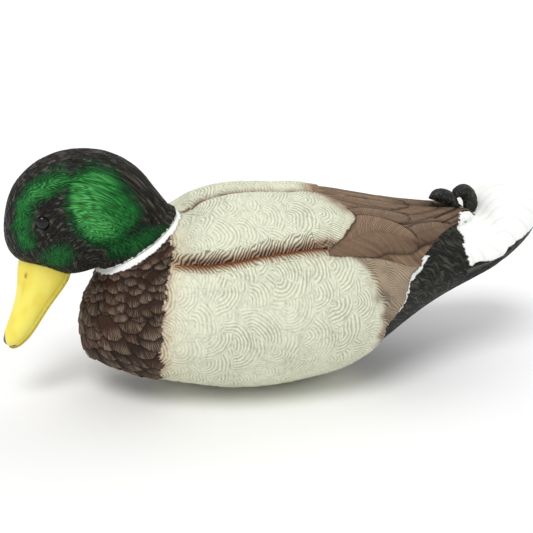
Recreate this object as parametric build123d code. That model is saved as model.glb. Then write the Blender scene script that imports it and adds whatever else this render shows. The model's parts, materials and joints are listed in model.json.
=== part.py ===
from build123d import *
import math
import os

# Floating mallard drake decoy: a hollow moulded body with bonded wings, tail fan and curl feathers,
# a head that turns on a plug-in neck joint, a ballast weight, a line tie and a drain plug.
# Millimetres. +X is forwards (towards the bill), +Y the duck's left, +Z up.
# The origin is the middle of the flat patch on the belly that the decoy stands on.

# ---- walls and clearances ----
WALL = 2.6  # moulded shells
GAP = 0.2  # between bonded mouldings
SECTION_POINTS = 20  # points round one body section

# ---- body: stations from breast to tail ----
# x, top z, bottom z, half width, height of the widest point, fullness above, fullness below
BODY = [
    (121, 61, 45, 7, 53, 2.0, 2.0),
    (118, 72, 34, 18, 53, 2.0, 2.0),
    (106, 91.5, 26, 38.5, 60, 2.0, 2.0),
    (84, 111, 16, 59, 66, 2.1, 2.05),
    (54, 130, 8.0, 76.5, 71, 2.2, 2.0),
    (15, 147.5, -1.0, 88, 72, 2.2, 2.0),
    (-34, 147.5, -2.0, 92, 72, 2.2, 2.0),
    (-82, 138.5, 9.5, 87, 76, 2.2, 2.05),
    (-121, 126.5, 30.5, 73, 86, 2.2, 2.1),
    (-156, 116, 49, 60, 91, 2.1, 2.0),
    (-187, 115.5, 63, 52, 93, 2.0, 2.0),
    (-206, 117.5, 72, 49, 96, 2.0, 2.0),
    (-222, 130.5, 81, 43, 100, 2.0, 2.0),
    (-240, 131.5, 93, 34, 107, 2.0, 2.0),
    (-256, 128, 108, 18, 116, 2.0, 2.0),
    (-260.5, 124.5, 113.5, 8, 119, 2.0, 2.0),
]
FLAT_DEPTH = 60.0  # how far below the flat belly the trimming block reaches

# ---- folded wings: the skin that both wings are cut from ----
WING = [
    (72, 114, 60, 62, 70, 2.1, 2.1),
    (54, 131.5, 40, 80, 71, 2.2, 2.2),
    (15, 150.5, 30, 91.5, 72, 2.2, 2.3),
    (-34, 150.5, 30, 95.5, 72, 2.2, 2.3),
    (-82, 142.5, 30, 90.5, 76, 2.2, 2.2),
    (-121, 133.5, 40, 77, 85, 2.2, 2.1),
    (-156, 127, 60, 60, 92, 2.1, 2.0),
    (-185, 124.5, 85, 38, 103, 2.0, 2.0),
    (-206, 122, 100, 20, 111, 2.0, 2.0),
]
# side view of one wing, (x, z): shoulder, groove above the flank, trailing edge, tip, back
WING_OUTLINE = [
    (52, 119), (0, 121), (-62, 119), (-96, 115), (-118, 109), (-145, 105),
    (-162, 112), (-180, 118), (-199, 120), (-202, 124), (-190, 170), (24, 170), (32, 142),
]
WING_SPLIT = 0.6  # half the gap between the two wings along the back
TIP_SPREAD = 6.0  # how far each wing tip stands from the centre line
TIP_FROM = -120.0  # where the wings start to part

# ---- tail fan ----
FAN = [
    (-195, 117.5, 68, 53.5, 95, 2.0, 2.0),
    (-206, 121.5, 73, 52, 97, 2.0, 2.0),
    (-222, 134.5, 82, 47, 100, 2.0, 2.0),
    (-240, 135.5, 93, 38, 107, 2.0, 2.0),
    (-256, 132, 107, 22, 116, 2.0, 2.0),
    (-264, 125.5, 113, 10, 119, 2.0, 2.0),
]
# side view of the fan, (x, z): root, lower edge, tip
FAN_OUTLINE = [(-214, 150), (-210, 119), (-206, 100), (-203, 89), (-222, 97), (-242, 111), (-270, 117), (-270, 150)]

# ---- curl feathers, side view: x, z and half thickness along the middle line, foot to tip ----
CURL_FRONT = [(-188, 112, 3.2), (-187.5, 122, 3.4), (-183.5, 130, 4.0), (-177.5, 135.5, 4.0), (-171, 136.4, 3.2)]
CURL_FRONT_TIP = (-165.5, 134.0)
CURL_REAR = [(-204.7, 113, 4.2), (-205.5, 124, 4.6), (-203, 133, 4.6), (-197, 138.6, 4.5), (-190.5, 138.2, 4.0)]
CURL_REAR_TIP = (-185.5, 134.5)
CURL_HALF_WIDTH = 4.4
CURL_SEAT = 0.15  # between a curl's peg and its hole
CURL_PEG_R = 2.4
CURL_PEG_TOP = 6.0  # the peg is hidden this far up inside the curl
CURL_BOSS_R = 6.5  # solid material left round the pegs
CURL_BOSS_UP = 30.0

# ---- neck joint ----
NECK_TILT = 32.0  # the swivel axis leans forwards by this much
NECK_AT = (76.6, 0, 119.7)  # centre of the collar
COLLAR_A, COLLAR_B = 38.5, 31.0  # collar half length and half width
SOCKET_R, SOCKET_DEPTH = 20.0, 26.0
SOCKET_WALL = 3.0
RUN_FIT = 0.08  # radial clearance of the turning spigot
SPIGOT_LENGTH = 22.0
SPIGOT_WALL = 4.0
SEAT_GAP = 0.5  # between the collar and the head
RING_Z, RING_T = -16.0, 1.6  # snap ring place and thickness
RING_BITE = 1.4  # how far the snap ring reaches into the socket wall
O_RING_Z, O_RING_D = -7.0, 2.4
STOP_SIZE = 4.0  # stop key on the socket floor
STOP_TURN = 62.0  # the slot lets the key travel this far each way
SCREW_PITCH_R = 10.0
SCREW_R, SCREW_HEAD_R, SCREW_LENGTH = 1.5, 2.9, 10.0

# ---- head: sections along the swivel axis ----
# height, back edge, front edge, half width
HEAD = [
    (SEAT_GAP, -37.5, 35.0, 30.5),
    (4.5, -36.8, 36.5, 30.2),
    (10, -36.0, 51.5, 30.0),
    (27, -35.0, 68.0, 30.5),
    (41, -34.0, 76.5, 31.0),
    (55, -30.0, 77.0, 31.0),
    (69, -21.5, 69.0, 29.0),
    (81, -8.0, 57.0, 23.5),
    (88, 5.5, 45.5, 15.0),
    (91.5, 18.0, 33.0, 5.5),
]
HEAD_FLOOR = 7.5  # top of the thick floor that takes the spigot screws

# ---- bill, side view in the head's own frame (fore-aft, height): top edge, bottom edge, half width ----
BILL = [
    ((60.0, 50.0), (38.0, 27.0), 12.0),
    ((75.0, 42.5), (45.0, 15.5), 13.0),
    ((84.0, 33.0), (55.0, 7.5), 13.5),
    ((92.5, 22.5), (68.5, 2.2), 12.8),
    ((101.5, 14.0), (83.0, -3.0), 12.0),
    ((112.0, 6.0), (98.5, -9.0), 11.6),
    ((121.0, -0.5), (113.0, -12.4), 9.2),
    ((125.5, -5.5), (121.0, -11.2), 5.0),
]
BILL_FULL = 2.3
MOUTH_RISE = 5.0  # height of the lower bill at the mouth line
MOUTH_GAP = 0.2
BILL_SEAT = 0.15
NOSTRIL_AT = (80.0, 30.0)
NOSTRIL_LONG, NOSTRIL_R = 5.0, 1.3
NOSTRIL_DEPTH = 5.0
NOSTRIL_SPLIT = 2.5

# ---- eyes ----
EYE_AT = (44.5, 61.0)  # fore-aft and height in the head's frame
EYE_TURN = 20.0  # the eye faces this far forwards of straight sideways
EYE_SIDE = 28.0  # from the head's centre plane to the eye's face
EYE_R, EYE_SEAT, EYE_PROUD = 4.6, 1.6, 2.2
EYE_STEM_R, EYE_STEM = 1.5, 6.0

# ---- drain ----
DRAIN_X = 15.0
DRAIN_BORE_R, DRAIN_STEM_R, DRAIN_FLANGE_R = 5.0, 8.5, 13.0
DRAIN_POCKET = 5.0  # the bush's face is this far above the flat belly
DRAIN_FLANGE_T = 2.0
DRAIN_BUSH_TOP = 14.0
DRAIN_BOSS_R, DRAIN_BOSS_TOP = 17.0, 12.0
PLUG_HEAD_R, PLUG_HEAD_T, PLUG_TOP = 9.0, 3.0, 16.0
PLUG_SLOT = (13.0, 1.8, 1.3)
GASKET_T = 0.95

# ---- line tie ----
LINE_X, LINE_Z = 56.0, 4.0
LINE_HOLE_R, LINE_EYE_R, LINE_T = 1.6, 3.4, 4.0
LINE_NECK, LINE_FLANGE = 6.8, (22.0, 16.0)
LINE_TOP = 14.0

# ---- ballast ----
BALLAST_X = -49.0
BALLAST = (80.0, 36.0, 10.0)
BALLAST_Z = 17.0  # underside of the weight
TRAY_END, TRAY_SIDE = 4.0, 8.0
STRAP_X = 26.0  # each strap is this far from the middle of the weight
STRAP_W, STRAP_T, STRAP_FOOT = 12.0, 1.5, 7.0
BALLAST_SCREW_R, BALLAST_SCREW_HEAD_R, BALLAST_SCREW_L = 1.5, 3.0, 6.0

os.makedirs("parts", exist_ok=True)


# ================= helpers =================
def loop(points):
    return Wire([Edge.make_spline([Vector(*p) for p in points], periodic=True)])


def power_curve(angle, full_up, full_down):
    """A point of a super-ellipse of unit size at this angle."""
    c, s = math.cos(angle), math.sin(angle)
    power = 2 / (full_up if s > 0 else full_down)
    return math.copysign(abs(c) ** power, c), math.copysign(abs(s) ** power, s)


def section(station, inset=0.0):
    """One closed section across the body: two half super-ellipses that meet at the widest point."""
    x, top, bottom, half, mid, full_up, full_down = station
    points = []
    for i in range(SECTION_POINTS):
        across, rise = power_curve(2 * math.pi * (i + 0.5) / SECTION_POINTS, full_up, full_down)
        reach = (top - mid if rise > 0 else mid - bottom) - inset
        points.append((x, (half - inset) * across, mid + reach * rise))
    return loop(points)


def skin(stations, inset=0.0):
    """A smooth solid through the sections, with a small flat at each end."""
    return Solid.make_loft([section(s, inset) for s in stations])


def side_prism(outline, y0, y1):
    """A side-view outline of (x, z) points pushed across from y0 to y1."""
    face = make_face(Polyline([(x, y0, z) for x, z in outline], close=True))
    return extrude(face, amount=y1 - y0, dir=(0, 1, 0))


def rod(radius, z0, z1):
    return Pos(0, 0, (z0 + z1) / 2) * Cylinder(radius, z1 - z0)


def tube(r_out, r_in, z0, z1):
    return rod(r_out, z0, z1) - rod(r_in, z0 - 1, z1 + 1)


def block(x0, x1, y0, y1, z0, z1):
    return Pos((x0 + x1) / 2, (y0 + y1) / 2, (z0 + z1) / 2) * Box(x1 - x0, y1 - y0, z1 - z0)


NECK_AXIS = Vector(math.sin(math.radians(NECK_TILT)), 0, math.cos(math.radians(NECK_TILT)))
NECK_FORE = Vector(NECK_AXIS.Z, 0, -NECK_AXIS.X)
NECK_PLANE = Plane(origin=NECK_AT, x_dir=NECK_FORE, z_dir=NECK_AXIS)


def on_neck(shape):
    """Places a shape modelled with Z along the swivel axis and X forwards on the neck."""
    return NECK_PLANE.location * shape


def screw(radius, head_r, length):
    """A pan-head screw pointing up, with its head's underside at zero."""
    body = rod(radius, -0.1, length - radius)
    point = Pos(0, 0, length - radius / 2) * Cone(radius, 0.3, radius)
    head = rod(head_r, -1.6, 0)
    slot = block(-head_r, head_r, -0.35, 0.35, -2.0, -1.0)
    return body + point + head - slot


def save(name, shape):
    solids = shape.solids()
    export_step(solids[0] if len(solids) == 1 else Compound(children=list(solids)), f"parts/{name}.step")
    print(name, len(solids), round(sum(s.volume for s in solids)), all(s.is_valid for s in solids))


# ================= body =================
def body_hull():
    """The outside of the body with its neck stump, trimmed flat under the belly."""
    stump_sections = [
        (5.0, 55.0, 50.0, -26.0),
        (2.0, 46.0, 41.0, -12.0),
        (0.0, COLLAR_A + 1.0, COLLAR_B + 1.0, -4.0),
        (0.0, COLLAR_A, COLLAR_B, 0.0),
    ]
    rings = [
        Wire([Edge.make_ellipse(a, b, plane=Plane(origin=(centre, 0, height)))])
        for centre, a, b, height in stump_sections
    ]
    floor = block(-400, 400, -200, 200, -FLAT_DEPTH, 0)
    return skin(BODY) + on_neck(Solid.make_loft(rings)) - floor


def body_cavity(clearance):
    """The hollow inside the body, this much clear of the outside."""
    stations = [s for s in BODY if -250 < s[0] < 110]
    floor = block(-400, 400, -200, 200, -FLAT_DEPTH, clearance)
    return skin(stations, inset=clearance) - floor


def curl_peg(path, radius, below):
    """A round peg under a curl's foot."""
    x, z, _ = path[0]
    return Pos(x, 0, 0) * rod(radius, z - below, z + CURL_PEG_TOP)


def make_body_shell():
    hull = body_hull()
    cavity = body_cavity(WALL)
    cavity -= Pos(DRAIN_X, 0, 0) * rod(DRAIN_BOSS_R, 0, DRAIN_BOSS_TOP)
    for path in (CURL_FRONT, CURL_REAR):
        x, z, _ = path[0]
        cavity -= Pos(x, 0, 0) * rod(CURL_BOSS_R, z - CURL_BOSS_R - 4, z + CURL_BOSS_UP)
    shell = hull - cavity
    shell -= on_neck(rod(SOCKET_R + SOCKET_WALL + GAP / 2, -60, 5))
    shell -= Pos(DRAIN_X, 0, 0) * rod(DRAIN_FLANGE_R + GAP / 2, -1, DRAIN_POCKET + DRAIN_FLANGE_T)
    shell -= Pos(DRAIN_X, 0, 0) * rod(DRAIN_STEM_R + GAP / 2, 0, 30)
    half_neck, half_t = LINE_NECK / 2 + GAP / 2, LINE_T / 2 + GAP / 2
    shell -= block(LINE_X - half_neck, LINE_X + half_neck, -half_t, half_t, -1, LINE_TOP)
    for path in (CURL_FRONT, CURL_REAR):
        shell -= curl_peg(path, CURL_PEG_R + CURL_SEAT, CURL_SEAT)
    return shell


def make_wing(side):
    """One folded wing: side is +1 for the left wing and -1 for the right."""
    blank = skin(WING) & side_prism(WING_OUTLINE, -110, 110)
    blank -= skin(BODY, inset=-GAP)
    y0, y1 = sorted((side * WING_SPLIT, side * 120))
    wing = blank & block(-260, 120, y0, y1, 0, 200)
    # the wings part towards their tips
    start, end = -260 - TIP_FROM, WING_SPLIT
    notch = Polyline([(TIP_FROM, 0, 0), (-260, 0, 0),
                      (-260, side * (TIP_SPREAD * (-260 - TIP_FROM) / (-200 - TIP_FROM) + end), 0),
                      (TIP_FROM, side * end, 0)], close=True)
    wing -= extrude(make_face(notch), amount=250, dir=(0, 0, 1))
    # clear of the neck stump
    wing -= on_neck(Pos(0, 0, -40) * Cylinder(52, 100))
    return max(wing.solids(), key=lambda s: s.volume)


def make_tail_fan():
    fan = skin(FAN) & side_prism(FAN_OUTLINE, -80, 80)
    fan -= skin(BODY, inset=-GAP)
    fan -= Pos(CURL_REAR[0][0], 0, 0) * rod(CURL_HALF_WIDTH + 1.5, 80, 160)
    return max(fan.solids(), key=lambda s: s.volume)


def make_curl(path, tip):
    """A curled feather: ellipses threaded on its middle line, on a round peg."""
    sections = []
    points = [(x, z) for x, z, _ in path] + [tip]
    for i, (x, z, half) in enumerate(path):
        before = points[max(i - 1, 0)]
        after = points[i + 1]
        along = Vector(after[0] - before[0], 0, after[1] - before[1])
        across = Plane(origin=(x, 0, z), x_dir=(0, 1, 0), z_dir=along)
        sections.append(Wire([Edge.make_ellipse(CURL_HALF_WIDTH, half, plane=across)]))
    along = Vector(tip[0] - path[-1][0], 0, tip[1] - path[-1][1])
    end_plane = Plane(origin=(tip[0], 0, tip[1]), x_dir=(0, 1, 0), z_dir=along)
    sections.append(Wire([Edge.make_ellipse(CURL_HALF_WIDTH / 3, path[-1][2] / 3, plane=end_plane)]))
    curl = Solid.make_loft(sections) - skin(BODY, inset=-GAP)
    return max(curl.solids(), key=lambda s: s.volume) + curl_peg(path, CURL_PEG_R, 0)


def make_neck_socket():
    cup = rod(SOCKET_R + SOCKET_WALL, -SOCKET_DEPTH - SOCKET_WALL, -0.3)
    cup -= rod(SOCKET_R, -SOCKET_DEPTH, 1)
    ring_half = RING_T / 2 + 0.2
    cup -= rod(SOCKET_R + RING_BITE + 0.2, RING_Z - ring_half, RING_Z + ring_half)
    key_r = SOCKET_R - STOP_SIZE / 2
    key = Pos(-key_r + 0.1, 0, -SOCKET_DEPTH + STOP_SIZE) * Box(STOP_SIZE, STOP_SIZE, 2 * STOP_SIZE)
    return on_neck(cup + key)


def make_drain_bush():
    top = DRAIN_POCKET + DRAIN_FLANGE_T
    bush = rod(DRAIN_FLANGE_R, DRAIN_POCKET, top) + rod(DRAIN_STEM_R, DRAIN_POCKET, DRAIN_BUSH_TOP)
    bush -= rod(DRAIN_BORE_R, 0, 30)
    return Pos(DRAIN_X, 0, 0) * bush


def make_drain_plug():
    head_top = DRAIN_POCKET - 1.0
    head = rod(PLUG_HEAD_R, head_top - PLUG_HEAD_T, head_top)
    head = chamfer(head.edges().group_by(Axis.Z)[0], 0.6)
    plug = head + rod(DRAIN_BORE_R - RUN_FIT, head_top, PLUG_TOP)
    plug -= Pos(0, 0, head_top - PLUG_HEAD_T) * Box(PLUG_SLOT[0], PLUG_SLOT[1], 2 * PLUG_SLOT[2])
    plug = chamfer(plug.edges().group_by(Axis.Z)[-1], 1.0)
    return Pos(DRAIN_X, 0, 0) * plug


def make_drain_gasket():
    low = DRAIN_POCKET - 1.0
    return Pos(DRAIN_X, 0, 0) * tube(DRAIN_STEM_R, DRAIN_BORE_R - RUN_FIT, low, low + GASKET_T)


def make_line_lug():
    face_plane = Plane(origin=(LINE_X, LINE_T / 2, LINE_Z), x_dir=(1, 0, 0), z_dir=(0, 1, 0))
    eye = face_plane.location * (Pos(0, 0, -LINE_T / 2) * Cylinder(LINE_EYE_R, LINE_T))
    hole = face_plane.location * (Pos(0, 0, -LINE_T / 2) * Cylinder(LINE_HOLE_R, LINE_T * 3))
    half = LINE_NECK / 2
    neck = block(LINE_X - half, LINE_X + half, -LINE_T / 2, LINE_T / 2, LINE_Z, LINE_TOP)
    wide, across = LINE_FLANGE
    flange = block(LINE_X - wide / 2, LINE_X + wide / 2, -across / 2, across / 2, 0, LINE_TOP)
    flange &= body_cavity(WALL + GAP / 2)
    return eye + neck + flange - hole


def make_ballast_tray():
    long, wide, _ = BALLAST
    half_x, half_y = long / 2 + TRAY_END, wide / 2 + TRAY_SIDE
    tray = block(BALLAST_X - half_x, BALLAST_X + half_x, -half_y, half_y, 0, BALLAST_Z)
    tray &= body_cavity(WALL + GAP)
    grid = block(BALLAST_X - long / 2 + 4, BALLAST_X - 4, -wide / 2 + 4, wide / 2 - 4, 8, 20)
    tray -= grid
    tray -= Pos(long / 2, 0, 0) * grid
    for x, y, _ in screw_places():
        tray -= Pos(x, y, 0) * rod(BALLAST_SCREW_R, BALLAST_Z - 6, BALLAST_Z + 1)
    return tray


def make_ballast_weight():
    long, wide, high = BALLAST
    weight = Pos(BALLAST_X, 0, BALLAST_Z + 0.1 + high / 2) * Box(long, wide, high)
    return fillet(weight.edges().filter_by(Axis.Z), 6.0)


def screw_places():
    """Two screws for each strap."""
    y = BALLAST[1] / 2 + STRAP_FOOT / 2 + STRAP_T
    return [(BALLAST_X + sx * STRAP_X, sy * y, sx) for sx in (-1, 1) for sy in (-1, 1)]


def make_strap(side):
    """A bent strap over the ballast: side is +1 for the front one."""
    _, wide, high = BALLAST
    x = BALLAST_X + side * STRAP_X
    x0, x1 = x - STRAP_W / 2, x + STRAP_W / 2
    inner_y, base, top = wide / 2 + 0.2, BALLAST_Z + 0.05, BALLAST_Z + high + 0.3
    outer_y = inner_y + STRAP_T + STRAP_FOOT - 0.5
    strap = block(x0, x1, -outer_y, outer_y, base, top + STRAP_T)
    strap -= block(x0 - 1, x1 + 1, -inner_y, inner_y, base - 1, top)
    for s in (-1, 1):
        ya, yb = sorted((s * (inner_y + STRAP_T), s * 60))
        strap -= block(x0 - 1, x1 + 1, ya, yb, base + STRAP_T, 60)
    for px, py, sx in screw_places():
        if sx == side:
            strap -= Pos(px, py, 0) * rod(BALLAST_SCREW_R + 0.2, 0, 60)
    return strap


def make_ballast_screws():
    one = screw(BALLAST_SCREW_R - 0.02, BALLAST_SCREW_HEAD_R, BALLAST_SCREW_L)
    height = BALLAST_Z + 0.05 + STRAP_T + 0.02
    return Compound(children=[Pos(x, y, height) * (Rot(180, 0, 0) * one) for x, y, _ in screw_places()])


# ================= head =================
def head_section(station, inset=0.0):
    """A closed section across the head, egg shaped: fullest towards the front."""
    height, back, front, half = station
    centre, reach = (back + front) / 2, (front - back) / 2 - inset
    points = []
    for i in range(SECTION_POINTS):
        angle = 2 * math.pi * (i + 0.5) / SECTION_POINTS
        points.append((centre + reach * math.cos(angle), (half - inset) * math.sin(angle), height))
    return loop(points)


def head_hull():
    return Solid.make_loft([head_section(s) for s in HEAD])


def head_cavity():
    sections = [head_section(s, WALL + 0.4) for s in HEAD[1:-2]]
    return Solid.make_loft(sections) - block(-100, 100, -100, 100, 0, HEAD_FLOOR)


def bill_hull():
    """The bill's outside; each section stands across the line from its top point to its bottom point."""
    sections = []
    for top, bottom, half in BILL:
        centre = ((top[0] + bottom[0]) / 2, (top[1] + bottom[1]) / 2)
        reach = ((top[0] - bottom[0]) / 2, (top[1] - bottom[1]) / 2)
        points = []
        for i in range(SECTION_POINTS):
            across, rise = power_curve(2 * math.pi * (i + 0.5) / SECTION_POINTS, 2.0, BILL_FULL)
            points.append((centre[0] + reach[0] * rise, half * across, centre[1] + reach[1] * rise))
        sections.append(loop(points))
    return Solid.make_loft(sections)


def below_mouth(rise):
    """Everything below the mouth line, raised by this much above the bill's bottom edge."""
    line = []
    for top, bottom, _ in BILL[:-1]:
        length = math.dist(top, bottom)
        share = rise / length
        line.append((bottom[0] + (top[0] - bottom[0]) * share, bottom[1] + (top[1] - bottom[1]) * share))
    last = BILL[-1][1]
    outline = [(20, 25)] + line + [(last[0] + 1.0, last[1] + 1.5), (last[0] + 8, last[1] - 12), (20, -40)]
    return side_prism(outline, -40, 40)


def eye_frame(side):
    """Where an eye sits: Z points out of the head along the eye's axis."""
    turn = math.radians(EYE_TURN)
    outward = (math.sin(turn), side * math.cos(turn), 0)
    return Plane(origin=(EYE_AT[0], side * EYE_SIDE, EYE_AT[1]), x_dir=(0, 0, 1), z_dir=outward).location


def screw_angles():
    return [60, 180, 300]


def make_head_shell():
    shell = head_hull() - head_cavity()
    shell -= bill_seat()
    for side in (-1, 1):
        seat = rod(EYE_R + 0.1, -EYE_SEAT - 0.1, 6) + rod(EYE_STEM_R + 0.05, -12, 0)
        shell -= eye_frame(side) * seat
    for angle in screw_angles():
        place = Rot(0, 0, angle) * Pos(SCREW_PITCH_R, 0, 0)
        shell -= place * rod(SCREW_R, -1, HEAD_FLOOR - 1.4)
    return on_neck(shell)


def bill_seat():
    """The shallow seat in the face that the bill is bonded into: the face a little under its skin."""
    return bill_hull() - head_core()


def head_core():
    """The head's shape under the bill seat."""
    sections = [head_section(s, 1.3) for s in HEAD[1:-2]]
    return Solid.make_loft(sections)


def bill_blank():
    sections = [head_section(s, 1.3 - BILL_SEAT) for s in HEAD[1:-2]]
    return bill_hull() - Solid.make_loft(sections)


def make_upper_bill():
    bill = bill_blank() - below_mouth(MOUTH_RISE + MOUTH_GAP)
    for side in (-1, 1):
        slot = Pos(0, side * (NOSTRIL_SPLIT + NOSTRIL_DEPTH + 4), 0) * Box(NOSTRIL_LONG, 2 * NOSTRIL_DEPTH + 8, 2 * NOSTRIL_R)
        bill -= Pos(NOSTRIL_AT[0], 0, NOSTRIL_AT[1]) * (Rot(0, 45, 0) * slot)
    return on_neck(max(bill.solids(), key=lambda s: s.volume))


def make_lower_bill():
    bill = bill_blank() & below_mouth(MOUTH_RISE)
    return on_neck(max(bill.solids(), key=lambda s: s.volume))


def make_eye(side):
    dome_r = (EYE_R ** 2 + EYE_PROUD ** 2) / (2 * EYE_PROUD)
    dome = Pos(0, 0, EYE_PROUD - dome_r) * Sphere(dome_r)
    eye = dome & rod(EYE_R, 0, EYE_PROUD + 1)
    eye += rod(EYE_R, -EYE_SEAT, 0)
    eye += rod(EYE_STEM_R, -EYE_STEM, -EYE_SEAT)
    return on_neck(eye_frame(side) * eye)


def make_neck_spigot():
    outer = SOCKET_R - RUN_FIT
    low = SEAT_GAP - SPIGOT_LENGTH
    spigot = rod(outer, low, SEAT_GAP) - rod(outer - SPIGOT_WALL, low - 1, -3.0)
    ring_half = RING_T / 2 + 0.1
    spigot -= tube(outer + 2, outer - 2.2, RING_Z - ring_half, RING_Z + ring_half)
    spigot -= tube(outer + 2, outer - O_RING_D, O_RING_Z - O_RING_D / 2 - 0.1, O_RING_Z + O_RING_D / 2 + 0.1)
    # the slot that the stop key runs in
    key_span = math.degrees(math.asin(STOP_SIZE / 2 / (SOCKET_R - STOP_SIZE)))
    half = math.radians(STOP_TURN + key_span)
    far = 60.0
    wedge = Polyline([(0, 0), (-far * math.cos(half), far * math.sin(half)), (-far, far * math.sin(half)),
                      (-far, -far * math.sin(half)), (-far * math.cos(half), -far * math.sin(half))], close=True)
    sector = Pos(0, 0, low - 1) * extrude(make_face(wedge), amount=1 + 4.6, dir=(0, 0, 1))
    spigot -= sector
    for angle in screw_angles():
        place = Rot(0, 0, angle) * Pos(SCREW_PITCH_R, 0, 0)
        spigot -= place * rod(SCREW_R + 0.2, -10, 2)
    return on_neck(spigot)


def make_snap_ring():
    outer = SOCKET_R + RING_BITE
    ring = tube(outer, SOCKET_R - RUN_FIT - 2.0, RING_Z - RING_T / 2, RING_Z + RING_T / 2)
    ring -= block(0, 40, -2, 2, RING_Z - 3, RING_Z + 3)
    return on_neck(ring)


def make_neck_o_ring():
    middle = SOCKET_R - RUN_FIT - O_RING_D / 2 + 0.02
    return on_neck(Pos(0, 0, O_RING_Z) * Torus(middle, O_RING_D / 2 - 0.05))


def make_spigot_screws():
    one = screw(SCREW_R - 0.02, SCREW_HEAD_R, SCREW_LENGTH - 2)
    screws = [Rot(0, 0, a) * (Pos(SCREW_PITCH_R, 0, -3.02) * one) for a in screw_angles()]
    return on_neck(Compound(children=screws))


# ================= the parts =================
save("body_shell", make_body_shell())
save("left_wing", make_wing(1))
save("right_wing", make_wing(-1))
save("tail_fan", make_tail_fan())
save("curl_feather_front", make_curl(CURL_FRONT, CURL_FRONT_TIP))
save("curl_feather_rear", make_curl(CURL_REAR, CURL_REAR_TIP))
save("neck_socket", make_neck_socket())
save("drain_bush", make_drain_bush())
save("line_lug", make_line_lug())
save("ballast_tray", make_ballast_tray())
save("ballast_weight", make_ballast_weight())
save("ballast_strap_front", make_strap(1))
save("ballast_strap_rear", make_strap(-1))
save("ballast_screws", make_ballast_screws())
save("drain_plug", make_drain_plug())
save("drain_gasket", make_drain_gasket())
save("head_shell", make_head_shell())
save("upper_bill", make_upper_bill())
save("lower_bill", make_lower_bill())
save("left_eye", make_eye(1))
save("right_eye", make_eye(-1))
save("neck_spigot", make_neck_spigot())
save("snap_ring", make_snap_ring())
save("neck_o_ring", make_neck_o_ring())
save("spigot_screws", make_spigot_screws())
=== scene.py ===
"""Floating mallard drake decoy: sculpted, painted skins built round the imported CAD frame."""
import json
import math
import bpy
import numpy as np
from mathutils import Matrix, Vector
from mathutils.bvhtree import BVHTree


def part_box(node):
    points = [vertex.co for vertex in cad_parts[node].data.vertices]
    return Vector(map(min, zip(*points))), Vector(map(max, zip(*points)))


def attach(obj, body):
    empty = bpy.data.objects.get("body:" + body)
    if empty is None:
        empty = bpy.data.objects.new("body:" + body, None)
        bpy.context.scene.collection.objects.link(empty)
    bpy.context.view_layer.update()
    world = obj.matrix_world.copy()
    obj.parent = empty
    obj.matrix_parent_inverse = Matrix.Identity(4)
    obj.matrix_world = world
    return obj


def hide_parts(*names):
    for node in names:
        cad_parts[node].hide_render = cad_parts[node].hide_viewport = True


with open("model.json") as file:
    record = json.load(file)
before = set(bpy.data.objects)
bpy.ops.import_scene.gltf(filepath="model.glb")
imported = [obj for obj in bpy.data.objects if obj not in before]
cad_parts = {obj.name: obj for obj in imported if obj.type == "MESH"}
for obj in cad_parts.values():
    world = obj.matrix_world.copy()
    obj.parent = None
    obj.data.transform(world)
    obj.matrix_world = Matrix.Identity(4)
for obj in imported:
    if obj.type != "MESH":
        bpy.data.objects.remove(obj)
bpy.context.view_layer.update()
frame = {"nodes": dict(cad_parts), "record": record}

MM = 0.001


# ================= reading the frame =================
def node_tree(*names):
    """A ray-casting tree over these CAD nodes, in millimetres."""
    points, faces = [], []
    for name in names:
        obj = frame["nodes"][name]
        mesh = obj.data
        start = len(points)
        world = obj.matrix_world
        points += [tuple(world @ v.co / MM) for v in mesh.vertices]
        faces += [tuple(start + i for i in p.vertices) for p in mesh.polygons]
    return BVHTree.FromPolygons(points, faces)


def cast_grid(tree, centres, directions, reach=300.0):
    """How far the surface lies from each centre along each direction, looking in from outside."""
    rows, columns = directions.shape[:2]
    out = np.zeros((rows, columns))
    for i in range(rows):
        for j in range(columns):
            d = Vector(directions[i, j])
            start = Vector(centres[i, j]) + d * reach
            hit = tree.ray_cast(start, -d, reach)
            out[i, j] = reach - hit[3] if hit[0] is not None else np.nan
    return out


# ================= arithmetic on grids =================
def smooth_step(low, high, value):
    t = np.clip((value - low) / (high - low), 0, 1)
    return t * t * (3 - 2 * t)


def blur_matrix(count, sigma, wrap):
    """A matrix that blurs a row of this many samples."""
    index = np.arange(count)
    gap = np.abs(index[:, None] - index[None, :])
    if wrap:
        gap = np.minimum(gap, count - gap)
    weight = np.exp(-0.5 * (gap / max(sigma, 1e-3)) ** 2)
    return weight / weight.sum(axis=1, keepdims=True)


def spline_matrix(count, wrap, at):
    """Catmull-Rom weights that take samples on a row to these fractional places on it."""
    base = np.floor(at).astype(int)
    t = at - base
    weights = [
        -0.5 * t + t * t - 0.5 * t ** 3,
        1 - 2.5 * t * t + 1.5 * t ** 3,
        0.5 * t + 2 * t * t - 1.5 * t ** 3,
        -0.5 * t * t + 0.5 * t ** 3,
    ]
    matrix = np.zeros((len(at), count))
    rows = np.arange(len(at))
    for k, w in enumerate(weights):
        column = base - 1 + k
        column = column % count if wrap else np.clip(column, 0, count - 1)
        np.add.at(matrix, (rows, column), w)
    return matrix


def turns(count):
    """Evenly spaced angles round one full turn."""
    return np.arange(count) / count * 2 * math.pi


def bell(offset, reach):
    """1 where the offset is nothing, falling away smoothly over this reach."""
    return np.exp(-(offset / reach) ** 2)


def spot(a, a_reach, b, b_reach):
    """A soft round spot over two offsets."""
    return np.exp(-(a / a_reach) ** 2 - (b / b_reach) ** 2)


def filled(shape, colour):
    """One colour at every point of a grid."""
    return np.zeros(shape + (3,)) + colour


INSIDE_LAST = 1.0001  # keeps a place on a row just inside its last sample


def unit(vectors):
    return vectors / np.maximum(np.linalg.norm(vectors, axis=-1, keepdims=True), 1e-9)


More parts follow.
